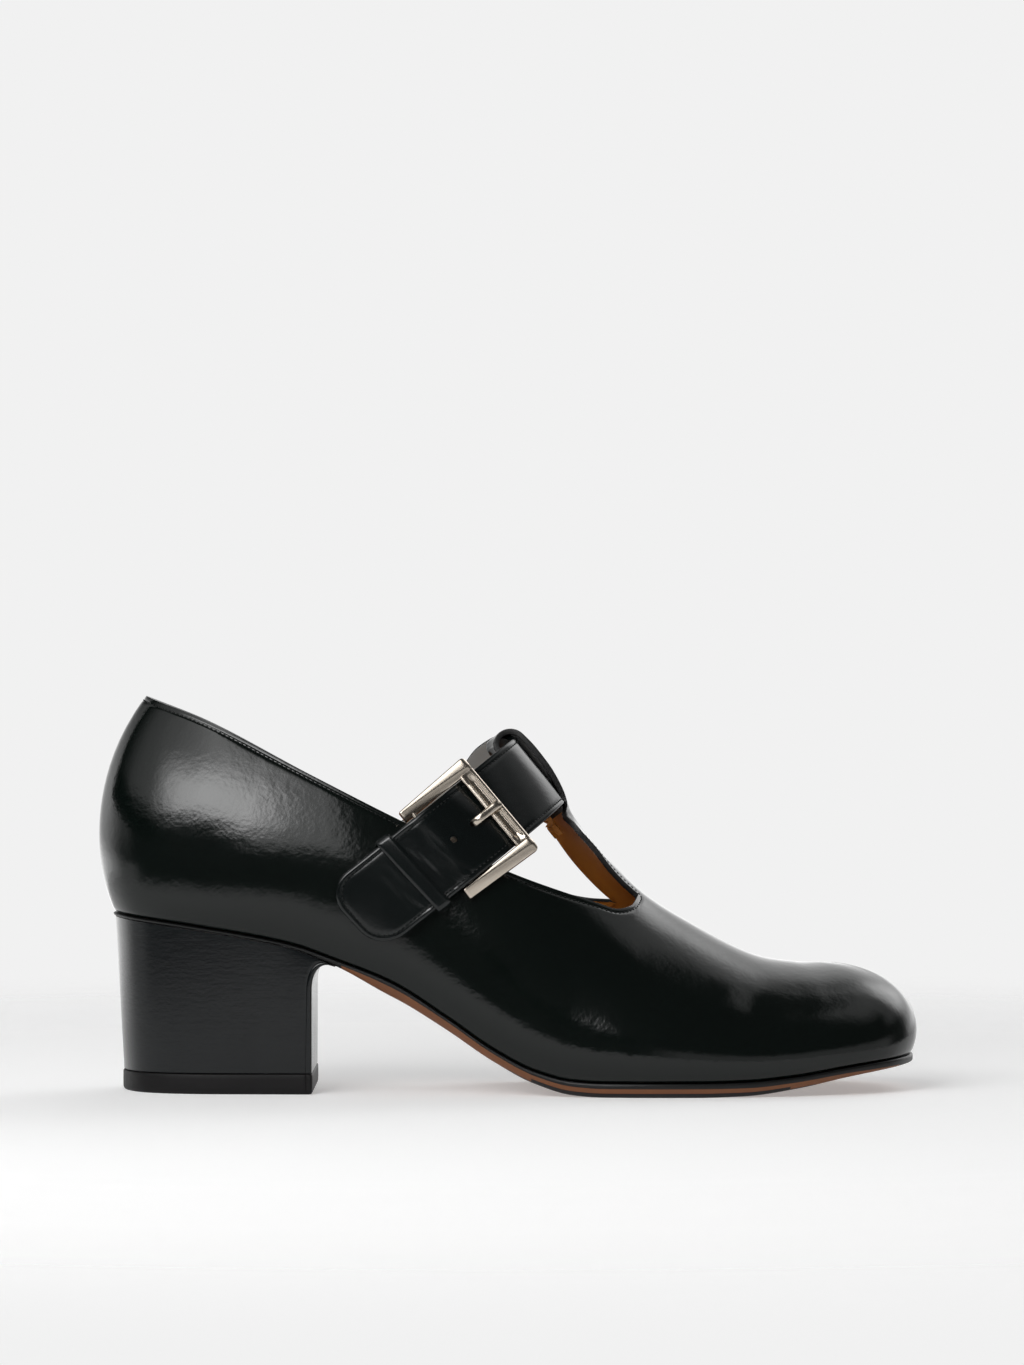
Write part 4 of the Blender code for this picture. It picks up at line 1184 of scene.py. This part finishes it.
# Distances of the strap's columns from its long edges, and of its first rows from its ends.
STRAP_INSETS = (0.0, 0.1, 0.3, 0.6, 1.0, 1.4, 1.75, 2.1, 2.5, 3.2, 4.4, 6.0, 8.0, 10.2, 12.5)
STRAP_ENDS = (0.0, 0.1, 0.3, 0.6, 1.0, 1.4, 1.75, 2.1, 2.5, 3.2, 4.0, 4.9, 5.9, 6.9, 8.0)
STRAP_PLAIN_ROWS = (9.0, 8.6)
STRAP_ROW_STEP = 0.9
BENT_ROW_STEP = 0.4
BENT_FROM = PLACES["keeper"] - 10.0
STRAP_EDGE_OVER = 0.8
STRAP_EDGE_UNDER = 0.6
STRAP_SEAM = 1.75
STRAP_TROUGH = 0.12
STRAP_TROUGH_HALF = 0.4
STRAP_THREAD_RISE = 0.05
# Holes punched in the strap: name, place, half length of the straight part.
HOLES = (("spare_hole", PLACES["spare"], 0.0), ("prong_hole", PLACES["slot"] + 1.0, 0.5))
HOLE_RADIUS = 0.9
HOLE_OVAL = 1.15
HOLE_STEPS = 20
HOLE_CLIMB = 0.2
PUNCH_DEPTH = 6.0
# Puckers round the holes: place, depth.
PUCKERS = ((PLACES["spare"], 0.16), (PLACES["slot"] - 0.6, 0.3))
PUCKER_HALF = 1.7
# The strap's lining takes the dark ink between these places, under the loop.
LOOP_DARK_SPAN = (-6.0, 11.5)
# Fine wrinkles where the strap was bent: from, to, count, half length, height, by place.
WRINKLES = (
    (PLACES["keeper"] + 3.2, PLACES["slot"] - 4.0, 32, 4.5, 0.08),
    (PLACES["keeper"] - 9.5, PLACES["keeper"] - 3.0, 14, 4.0, 0.07),
)
# Where they lie across the strap, how they turn, and how their lengths and heights vary.
WRINKLE_ACROSS = (-10.0, 5.0)
WRINKLE_TURNS = (-0.5, 0.1)
WRINKLE_LENGTHS = (0.6, 1.3)
WRINKLE_HEIGHTS = (-1.2, -1.0, 0.8)
WRINKLE_SEED = 7
WRINKLE_HALF = 0.55
WRINKLE_REACH = 4.0


def wrinkle_lines():
    """Wrinkles scattered over the strap: along, across, turn, half length, height."""
    dice = random.Random(WRINKLE_SEED)
    lines = []
    for first, last, count, half, height in WRINKLES:
        for _ in range(count):
            lines.append((dice.uniform(first, last), dice.uniform(*WRINKLE_ACROSS),
                          dice.uniform(*WRINKLE_TURNS), half * dice.uniform(*WRINKLE_LENGTHS),
                          height * dice.choice(WRINKLE_HEIGHTS)))
    return lines


WRINKLE_LINES = wrinkle_lines()


def strap_relief(u, b):
    """Wrinkles and the puckers round the holes, as height on the strap's outer face."""
    total = 0.0
    for u0, b0, turn, half, height in WRINKLE_LINES:
        if abs(u - u0) > WRINKLE_REACH:
            continue
        across = (u - u0) * math.cos(turn) - (b - b0) * math.sin(turn)
        along = (b - b0) * math.cos(turn) + (u - u0) * math.sin(turn)
        total += height * bell(across / WRINKLE_HALF) * bell(along / half)
    for hole, depth in PUCKERS:
        total -= depth * bell(math.hypot(u - hole, b) / PUCKER_HALF)
    return total


def strap_inside(u, b):
    """Distance of a place on the strap from its outline."""
    first, last = PLACES["tip"], PLACES["end"]
    end = max(min(u - first, last - u), 0.0)
    side = STRAP_WIDTH / 2 - abs(b)
    if end < STRAP_TIP_RADIUS and side < STRAP_TIP_RADIUS:
        return max(STRAP_TIP_RADIUS - math.hypot(STRAP_TIP_RADIUS - end, STRAP_TIP_RADIUS - side), 0.0)
    return max(min(end, side), 0.0)


def strap_half(u):
    """Half width of the strap, less in its rounded ends."""
    end = max(min(u - PLACES["tip"], PLACES["end"] - u), 0.0)
    short = max(STRAP_TIP_RADIUS - end, 0.0)
    return STRAP_WIDTH / 2 - STRAP_TIP_RADIUS + math.sqrt(STRAP_TIP_RADIUS ** 2 - short ** 2)


def strap_top(u, b, extra=0.0):
    """A point of the strap's outer face, b across from its middle line."""
    inside = strap_inside(u, b)
    height = STRAP_THICK - round_edge(inside, STRAP_EDGE_OVER)
    height -= STRAP_TROUGH * bell((inside - STRAP_SEAM) / STRAP_TROUGH_HALF)
    height += strap_relief(u, b) + extra
    return belt_point(STRAP_CLIMB + strap_rise(u) + b, u, strap_lift(u) + strap_tilt(u) * b + height)


def make_strap():
    """Lined leather strap from its tip to its end, with its holes punched and its edges sewn."""
    first, last = PLACES["tip"], PLACES["end"]
    stations = [first + e for e in STRAP_ENDS] + [last - e for e in STRAP_ENDS]
    u = first + STRAP_PLAIN_ROWS[0]
    while u < last - STRAP_PLAIN_ROWS[1]:
        stations.append(u)
        u += BENT_ROW_STEP if BENT_FROM < u < PLACES["slot"] else STRAP_ROW_STEP
    stations.sort()
    shares = [1.0 - 2 * inset / STRAP_WIDTH for inset in STRAP_INSETS]
    loops = []
    for u in stations:
        half = strap_half(u)
        across = [-half * c for c in shares] + [half * c for c in reversed(shares[:-1])]
        over = [strap_top(u, b) for b in across]
        under = []
        for b in reversed(across):
            lift = strap_lift(u) + strap_tilt(u) * b + round_edge(strap_inside(u, b), STRAP_EDGE_UNDER)
            under.append(belt_point(STRAP_CLIMB + strap_rise(u) + b, u, lift))
        loops.append(over + under)
    points, faces = skin(loops)
    ring = len(loops[0])
    half_ring = ring // 2
    marks = []
    darkened = [LOOP_DARK_SPAN[0] < u < LOOP_DARK_SPAN[1] for u in stations]
    for i in range(len(faces)):
        k = i % ring
        inner_face = i < len(faces) - 2 and half_ring + 2 <= k < ring - 3
        marks.append((2 if darkened[i // ring] else 1) if inner_face else 0)
    finishes = (STRAP_CALF, STRAP_LINING_SHEEN, EDGE_INK_AND_SHADE)
    strap = add_piece("ankle_strap_leather", points, faces, finishes, marks)
    cutters = []
    for name, place, long in HOLES:
        middle = belt_point(STRAP_CLIMB + HOLE_CLIMB, place, strap_lift(place) + STRAP_THICK / 2)
        loops = []
        for depth in (-PUNCH_DEPTH, PUNCH_DEPTH):
            loop = []
            for k in range(HOLE_STEPS):
                turn = 2 * math.pi * k / HOLE_STEPS
                a = HOLE_RADIUS * math.cos(turn) + long * (1.0 if math.cos(turn) > 0.0 else -1.0)
                b = HOLE_RADIUS * HOLE_OVAL * math.sin(turn)
                loop.append(middle + AHEAD * a + ACROSS * b + OUTWARD * depth)
            loops.append(loop)
        cutter = add_piece(name, *skin(loops), (EDGE_INK_AND_SHADE,))
        punch = strap.modifiers.new(name, "BOOLEAN")
        punch.operation = "DIFFERENCE"
        punch.object = cutter
        punch.material_mode = "TRANSFER"
        cutters.append(cutter)
    settle(strap)
    for cutter in cutters:
        bpy.data.objects.remove(cutter, do_unlink=True)
    dress(strap, "strap_leather", "ankle_strap")

    corner = STRAP_TIP_RADIUS - STRAP_SEAM
    reach = STRAP_WIDTH / 2 - STRAP_SEAM
    tip = []
    for turn in spread(0.0, math.pi / 2, 14):
        u = first + STRAP_SEAM + corner * (1.0 - math.sin(turn))
        tip.append((u, -(reach - corner) - corner * math.cos(turn)))
    left = [(u, -reach) for u in spread(last - STRAP_SEAM, first + STRAP_TIP_RADIUS, 170)]
    path = left + tip[1:]
    path += [(u, -b) for u, b in reversed(tip)] + [(u, -b) for u, b in reversed(left)][1:]
    seam = [in_row(strap_top(u, b, STRAP_THREAD_RISE)) for u, b in path]
    sew("strap_stitches", [seam], "strap_leather")


# The keeper's rolled edge: distance inside its side, share of its thickness.
KEEPER_ROLL = ((0.25, 0.0), (0.06, 0.15), (0.0, 0.42), (0.1, 0.7), (0.35, 0.9), (0.9, 1.0), (1.5, 1.03))
KEEPER_MIDDLE = 1.04
KEEPER_TURN = 0.7
KEEPER_PUFF = 0.22


def make_keeper():
    """Leather band round the strap, its edges rolled over."""
    middle = PLACES["keeper"]
    half = STRAP_WIDTH / 2 + KEEPER_PLAY - KEEPER_TURN
    low, high = -KEEPER_PLAY, STRAP_THICK + KEEPER_PLAY
    path = []
    for corner_b, corner_h, first in ((half, high - KEEPER_TURN, 0.0), (-half, high - KEEPER_TURN, 90.0),
                                      (-half, low + KEEPER_TURN, 180.0), (half, low + KEEPER_TURN, 270.0)):
        for turn in spread(math.radians(first), math.radians(first + 90.0), 6):
            across, out = math.cos(turn), math.sin(turn)
            path.append((corner_b + KEEPER_TURN * across, corner_h + KEEPER_TURN * out, across, out))
        if first in (0.0, 180.0):
            sign, level, puff = (1.0, high, KEEPER_PUFF) if first == 0.0 else (-1.0, low, 0.0)
            for t in spread(0.08, 0.92, 10):
                path.append((sign * half * (1 - 2 * t), level + puff * math.sin(math.pi * t), 0.0, sign))
    left = [(inside - KEEPER_WIDTH / 2, depth) for inside, depth in KEEPER_ROLL]
    right = [(-along, depth) for along, depth in reversed(left)]
    profile = left + [(0.0, KEEPER_MIDDLE)] + right + [(0.0, 0.0)]
    loops = []
    for b, level, nb, nh in path:
        loop = []
        for along, depth in profile:
            u = middle + along
            lift = strap_lift(u) + strap_tilt(u) * b + level + nh * depth * KEEPER_THICK
            loop.append(belt_point(STRAP_CLIMB + b + nb * depth * KEEPER_THICK, u, lift))
        loops.append(loop)
    keeper = add_piece("keeper_leather", *skin(loops, closed=True), (STRAP_CALF,))
    dress(settle(keeper), "strap_leather", "keeper")


make_strap()
make_keeper()


# Buckle

# Rows along an arm of the buckle, by their distance from its heel end and from its front.
ARM_HEEL_ROWS = (0.0, 0.06, 0.2, 0.45, 0.9)
ARM_FRONT_ROWS = (3.0, 2.2, 1.6, 1.1, 0.7, 0.4, 0.2, 0.08, 0.0)
ARM_PLAIN_ROWS = (1.8, 4.0, 16)
ARM_CROWN = 0.1
ARM_DROP = 0.8
# Fall of the two facets over the arm's whole width.
STEEP_FALL = 1.15
SHALLOW_FALL = 0.35
# Share of each arm's width below its ridge at the heel end, and what it loses on the way to the front.
UPPER_RIDGE = (0.8, 0.48)
LOWER_RIDGE = (0.82, 0.34)
HEEL_END_ROUND = 0.35
FRONT_DROP_ROUND = 1.4
FRONT_SIDE_ROUND = 1.5
# The outer bar's section: along the buckle, outwards, depth of the scoop there.
OUTER_BAR_SECTION = (
    (-2.5, -1.1, 0.0), (-2.5, 0.72, 0.0), (-2.42, 0.95, 0.0), (-2.2, 1.06, 0.0), (-1.2, 1.08, 0.0),
    (-0.95, 1.0, 0.2), (-0.7, 0.98, 0.62), (-0.3, 0.98, 0.86), (0.2, 0.96, 0.9), (0.65, 0.95, 0.72),
    (1.0, 0.95, 0.3), (1.3, 0.98, 0.05), (1.7, 0.98, 0.0), (2.1, 0.8, 0.0), (2.38, 0.45, 0.0),
    (2.5, 0.0, 0.0), (2.5, -1.1, 0.0), (2.3, -1.3, 0.0), (-2.3, -1.3, 0.0))
SCOOP_END = 3.2
HEEL_BAR_STEPS = 16
# The prong's section: across, outwards.
PRONG_SECTION = ((-1.25, -0.4), (-1.25, 0.1), (-1.13, 0.34), (-0.85, 0.6), (0.85, 0.6),
                 (1.13, 0.34), (1.25, 0.1), (1.25, -0.4), (1.05, -0.6), (-1.05, -0.6))
PRONG_END_SHARE = 0.8
PRONG_CURL = (math.radians(-325.0), math.radians(-90.0), 14)


def arm_loops(low_b, high_b, ridge):
    """One arm of the buckle: two long facets that meet on a slanting ridge, rounded at the ends.

    low_b and high_b give the arm's edges across the buckle for a place along it, and
    ridge the share of its width below the ridge.
    """
    front = REACH + OUTER_BAR_WIDE / 2
    start, stop, count = ARM_PLAIN_ROWS
    stations = [-ARM_TAIL + d for d in ARM_HEEL_ROWS] + spread(-ARM_TAIL + start, front - stop, count)
    stations += [front - d for d in ARM_FRONT_ROWS]
    base = -ARM_THICK / 2
    loops = []
    for a in stations:
        heel_end, toe_end = a + ARM_TAIL, front - a
        drop = round_edge(heel_end, HEEL_END_ROUND) + round_edge(toe_end, FRONT_DROP_ROUND)
        shrink = round_edge(heel_end, HEEL_END_ROUND) + round_edge(toe_end, FRONT_SIDE_ROUND)
        low, high = low_b(a) + shrink, high_b(a) - shrink
        wide = high - low
        top = ARM_THICK / 2 + ARM_CROWN - drop * ARM_DROP
        peak = ridge(a)
        steep, shallow = STEEP_FALL * peak, SHALLOW_FALL * (1.0 - peak)
        shape = ((0.0, base + 0.25), (0.0, top - steep - 0.3), (0.02, top - steep - 0.12),
                 (0.07, top - steep), (peak - 0.1, top - 0.12), (peak - 0.03, top - 0.02), (peak + 0.03, top),
                 (peak + 0.1, top - 0.04), (0.92, top - shallow), (0.97, top - shallow - 0.12),
                 (1.0, top - shallow - 0.35), (1.0, base + 0.25), (0.9, base), (0.1, base))
        loops.append([in_buckle(a, low + wide * share, max(h, base)) for share, h in shape])
    return loops


def make_buckle():
    """Nickel frame: two tapering arms, a scooped outer bar and the thin heel bar."""
    front = REACH + OUTER_BAR_WIDE / 2

    def along(a):
        return (a + ARM_TAIL) / (front + ARM_TAIL)

    def wide(a):
        return ARM_NARROW + (ARM_WIDE - ARM_NARROW) * along(a)
    upper_arm = arm_loops(lambda a: ARM_INSIDE, lambda a: ARM_INSIDE + wide(a),
                          lambda a: UPPER_RIDGE[0] - UPPER_RIDGE[1] * along(a))
    lower_arm = arm_loops(lambda a: -ARM_INSIDE - wide(a), lambda a: -ARM_INSIDE,
                          lambda a: LOWER_RIDGE[0] - LOWER_RIDGE[1] * along(a))
    outer_bar = []
    end = ARM_INSIDE + 0.4
    for b in spread(-end, -9.0, 26) + spread(-8.5, 8.5, 17) + spread(9.0, end, 26):
        scoop = ease((ARM_INSIDE - abs(b)) / SCOOP_END)
        outer_bar.append([in_buckle(REACH + a, b, h - depth * scoop) for a, h, depth in OUTER_BAR_SECTION])
    turns = spread(0.0, 2 * math.pi, HEEL_BAR_STEPS)[:-1]
    reach = ARM_INSIDE + ARM_NARROW / 2
    heel_bar = [[in_buckle(BAR_RADIUS * math.cos(t), b, BAR_RADIUS * math.sin(t)) for t in turns]
                for b in (-reach, reach)]
    points = []
    faces = []
    for loops in (upper_arm, lower_arm, outer_bar, heel_bar):
        some_points, some_faces = skin(loops)
        start = len(points)
        points += some_points
        faces += [tuple(start + i for i in face) for face in some_faces]
    buckle = add_piece("buckle_frame_nickel", points, faces, (NICKEL,))
    dress(settle(buckle), "nickel", "buckle_frame")


def make_prong():
    """Prong bent round the heel bar, up through the strap and on to the outer bar."""
    ring = BAR_RADIUS + GAP + PRONG_THICK / 2
    rest = ARM_THICK / 2 + GAP + PRONG_THICK / 2
    path = [(ring * math.cos(t), ring * math.sin(t)) for t in spread(*PRONG_CURL)] + list(PRONG_PATH)
    path += [(REACH - 2.5, rest), (REACH - 0.6, rest), (REACH + 0.6, rest - 0.1),
             (REACH + 1.3, rest - 0.35), (REACH + PRONG_TIP, rest - 0.7)]
    loops = []
    for i, (a, h) in enumerate(path):
        before, after = path[max(i - 1, 0)], path[min(i + 1, len(path) - 1)]
        da, dh = after[0] - before[0], after[1] - before[1]
        size = math.hypot(da, dh)
        end = PRONG_END_SHARE if i == len(path) - 1 else 1.0
        loops.append([in_buckle(a - dh / size * d * end, b * end, h + da / size * d * end)
                      for b, d in PRONG_SECTION])
    prong = add_piece("buckle_prong_nickel", *skin(loops), (NICKEL,))
    dress(settle(prong), "nickel", "buckle_prong")


make_buckle()
make_prong()
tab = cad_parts["buckle_tab"]
tab.data.materials.clear()
tab.data.materials.append(STRAP_CALF)


# Studio

CAMERA_AT = (0.0009, -1.60, 0.1214)
PIXELS_PER_METRE = 3339.0
PICTURE_HEIGHT = 1365.0
SENSOR = 36.0
PALE = 0.88
# The floor: half its side, its own glow and where it fades into the background, in metres.
FLOOR_HALF = 3.0
FLOOR_GLOW = 0.31
FLOOR_FADE = (0.22, 0.65)

# What the leather mirrors, as a lit studio seen from the shoe: azimuth from and to (0 towards the
# camera, plus to the toe), elevation from and to, softness of the four edges, radiance.
Panel = namedtuple("Panel", "az_from az_to el_from el_to soft_from soft_to soft_low soft_high radiance")
PANELS = [Panel(*row) for row in (
    (3, 96, -6, 10, 4, 12, 2, 4, 0.5),
    (128, 181, -8, 12, 10, 1, 2, 12, 0.6),
    (130, 181, 2, 56, 12, 1, 6, 12, 1.35),
    (127, 152, 22, 48, 6, 8, 6, 8, 1.6),
    (100, 130, 24, 46, 10, 6, 6, 8, 0.35),
    (75, 150, 46, 66, 12, 10, 10, 4, 0.6),
    (-181, -112, -8, 16, 1, 20, 2, 12, 1.0),
    (-135, -80, 2, 50, 12, 12, 6, 10, 0.45),
    (-181, 181, -91, -13, 0.5, 0.5, 0.5, 3, 0.75),
    (70, 181, -13, -3, 10, 0.5, 3, 2, 0.75),
    (-181, -70, -13, -3, 0.5, 10, 3, 2, 0.75),
)]
DIM = 0.06
# The key light is a soft box near the shoe, so it mirrors in the quarter and not in the vamp:
# the place it is aimed at, its distance, and its brightness in the same columns.
KEY_AIM = Vector((-0.07, -0.03, 0.085))
KEY_AWAY = 0.95
KEY = [Panel(*row) for row in (
    (-95, -6, 17, 62, 25, 5, 3, 5, 0.9),
    (-62, -6, 17, 62, 15, 5, 3, 5, 0.6),
    (-40, -6, 17, 62, 12, 5, 3, 5, 0.9),
    (-24, -6, 17, 62, 8, 5, 3, 5, 1.0),
    (-48, -6, 18, 31, 12, 5, 3, 5, 6.5),
)]
KEY_GRID = (spread(-122.0, 3.0, 100), spread(8.0, 68.0, 60))
# A card of lit gauze stands nearer still, so it mirrors beside the strap's end and not in the waist.
CARD_AIM = Vector((-0.0585, -0.0305, 0.073))
CARD_AWAY = 0.28
CARD = [Panel(-13, 4, 12, 42, 5, 2, 3, 8, 2.1)]
CARD_GRID = (spread(-20.0, 8.0, 28), spread(7.0, 54.0, 47))


def make_floor():
    """Pale floor that fades into the background."""
    mesh = bpy.data.meshes.new("studio_floor")
    corners = [(x * FLOOR_HALF, y * FLOOR_HALF, 0.0) for x, y in ((-1, -1), (1, -1), (1, 1), (-1, 1))]
    mesh.from_pydata(corners, [], [(0, 1, 2, 3)])
    paper = bpy.data.materials.new("white_paper")
    paper.use_nodes = True
    tree = paper.node_tree
    shader = tree.nodes["Principled BSDF"]
    shader.inputs["Base Color"].default_value = (0.8, 0.8, 0.8, 1.0)
    shader.inputs["Roughness"].default_value = 0.9
    shader.inputs["Specular IOR Level"].default_value = 0.1
    shader.inputs["Emission Color"].default_value = (1.0, 1.0, 1.0, 1.0)
    shader.inputs["Emission Strength"].default_value = FLOOR_GLOW
    place = add_node(tree, "ShaderNodeTexCoord").outputs["Object"]
    away = add_node(tree, "ShaderNodeVectorMath", {"operation": "LENGTH"}, _0=place)
    fade = add_node(tree, "ShaderNodeMapRange", {"interpolation_type": "SMOOTHSTEP"},
                    Value=away.outputs["Value"], From_Min=FLOOR_FADE[0], From_Max=FLOOR_FADE[1],
                    To_Min=1.0, To_Max=0.0)
    tree.links.new(fade.outputs[0], shader.inputs["Alpha"])
    mesh.materials.append(paper)
    floor = bpy.data.objects.new("studio_floor", mesh)
    bpy.context.scene.collection.objects.link(floor)


def make_silk(name, sheer):
    """Lit silk, as bright as its sheet's glow says at each point; a sheer one lets light by."""
    silk = bpy.data.materials.new(name)
    silk.use_nodes = True
    tree = silk.node_tree
    tree.nodes.clear()
    level = add_node(tree, "ShaderNodeAttribute", {"attribute_name": "glow"})
    shine = add_node(tree, "ShaderNodeEmission", Strength=level.outputs["Fac"])
    if sheer:
        clear = add_node(tree, "ShaderNodeBsdfTransparent")
        shine = add_node(tree, "ShaderNodeAddShader", _0=shine.outputs[0], _1=clear.outputs[0])
    add_node(tree, "ShaderNodeOutputMaterial", Surface=shine.outputs[0])
    return silk


def make_sheet(name, silk, centre, away, grid, rows, lights_floor):
    """A curved sheet of light round a place, its brightness set point by point."""
    points = []
    glow = []
    azimuths, elevations = grid
    for az in azimuths:
        for el in elevations:
            turn = math.radians(az)
            aim = Vector((math.sin(turn), -math.cos(turn), math.tan(math.radians(el))))
            points.append(centre + aim * away)
            total = 0.0
            for panel in rows:
                share = ease((az - panel.az_from + panel.soft_from) / (2 * panel.soft_from))
                share *= ease((panel.az_to + panel.soft_to - az) / (2 * panel.soft_to))
                share *= ease((el - panel.el_from + panel.soft_low) / (2 * panel.soft_low))
                share *= ease((panel.el_to + panel.soft_high - el) / (2 * panel.soft_high))
                total += share * panel.radiance
            glow.append(total)
    count = len(elevations)
    faces = []
    for i in range(len(azimuths) - 1):
        row = range(i * count, (i + 1) * count)
        faces += quads_between(list(row), [k + count for k in row])
    mesh = bpy.data.meshes.new(name)
    mesh.from_pydata(points, [], faces)
    mesh.attributes.new("glow", "FLOAT", "POINT").data.foreach_set("value", glow)
    mesh.materials.append(silk)
    box = bpy.data.objects.new(name, mesh)
    bpy.context.scene.collection.objects.link(box)
    box.visible_camera = False
    box.visible_diffuse = lights_floor


def make_world():
    """The studio round the shoe as panels of light, with a pale background for the camera."""
    world = bpy.data.worlds.new("studio")
    bpy.context.scene.world = world
    world.use_nodes = True
    tree = world.node_tree
    tree.nodes.clear()
    place = add_node(tree, "ShaderNodeTexCoord").outputs["Generated"]
    axes = add_node(tree, "ShaderNodeSeparateXYZ", Vector=place).outputs
    to_camera = add_node(tree, "ShaderNodeMath", {"operation": "MULTIPLY"}, _0=axes[1], _1=-1.0)
    turn = add_node(tree, "ShaderNodeMath", {"operation": "ARCTAN2"}, _0=axes[0], _1=to_camera.outputs[0])
    climb = add_node(tree, "ShaderNodeMath", {"operation": "ARCSINE"}, _0=axes[2])
    azimuth, elevation = [
        add_node(tree, "ShaderNodeMath", {"operation": "DEGREES"}, _0=angle.outputs[0]).outputs[0]
        for angle in (turn, climb)]
    total = DIM
    for panel in PANELS:
        light = panel.radiance
        edges = ((azimuth, panel.az_from, panel.soft_from, 0.0, 1.0),
                 (azimuth, panel.az_to, panel.soft_to, 1.0, 0.0),
                 (elevation, panel.el_from, panel.soft_low, 0.0, 1.0),
                 (elevation, panel.el_to, panel.soft_high, 1.0, 0.0))
        for angle, edge, soft, before, after in edges:
            share = add_node(tree, "ShaderNodeMapRange", {"interpolation_type": "SMOOTHSTEP"}, Value=angle,
                             From_Min=edge - soft, From_Max=edge + soft, To_Min=before, To_Max=after)
            light = add_node(tree, "ShaderNodeMath", {"operation": "MULTIPLY"}, _0=light,
                             _1=share.outputs[0]).outputs[0]
        total = add_node(tree, "ShaderNodeMath", {"operation": "ADD"}, _0=light, _1=total).outputs[0]
    seen = add_node(tree, "ShaderNodeLightPath").outputs["Is Camera Ray"]
    tone = add_node(tree, "ShaderNodeMix", {"data_type": "FLOAT"}, _0=seen, _2=total, _3=PALE)
    sky = add_node(tree, "ShaderNodeBackground", Color=(1.0, 1.0, 1.0, 1.0), Strength=tone.outputs[0])
    add_node(tree, "ShaderNodeOutputWorld", Surface=sky.outputs[0])


def make_studio():
    """Floor, lights and the camera, set as in the photo."""
    scene = bpy.context.scene
    scene.view_settings.view_transform = "Standard"
    scene.view_settings.look = "None"
    make_floor()
    make_sheet("soft_box", make_silk("lit_silk", False), KEY_AIM, KEY_AWAY, KEY_GRID, KEY, True)
    make_sheet("sheer_card", make_silk("lit_gauze", True), CARD_AIM, CARD_AWAY, CARD_GRID, CARD, False)
    make_world()
    lens = bpy.data.cameras.new("camera")
    lens.sensor_fit = "VERTICAL"
    lens.sensor_height = SENSOR
    lens.lens = SENSOR * PIXELS_PER_METRE * -CAMERA_AT[1] / PICTURE_HEIGHT
    camera = bpy.data.objects.new("camera", lens)
    camera.location = CAMERA_AT
    camera.rotation_euler = (math.radians(90.0), 0.0, 0.0)
    scene.collection.objects.link(camera)
    scene.camera = camera


make_studio()
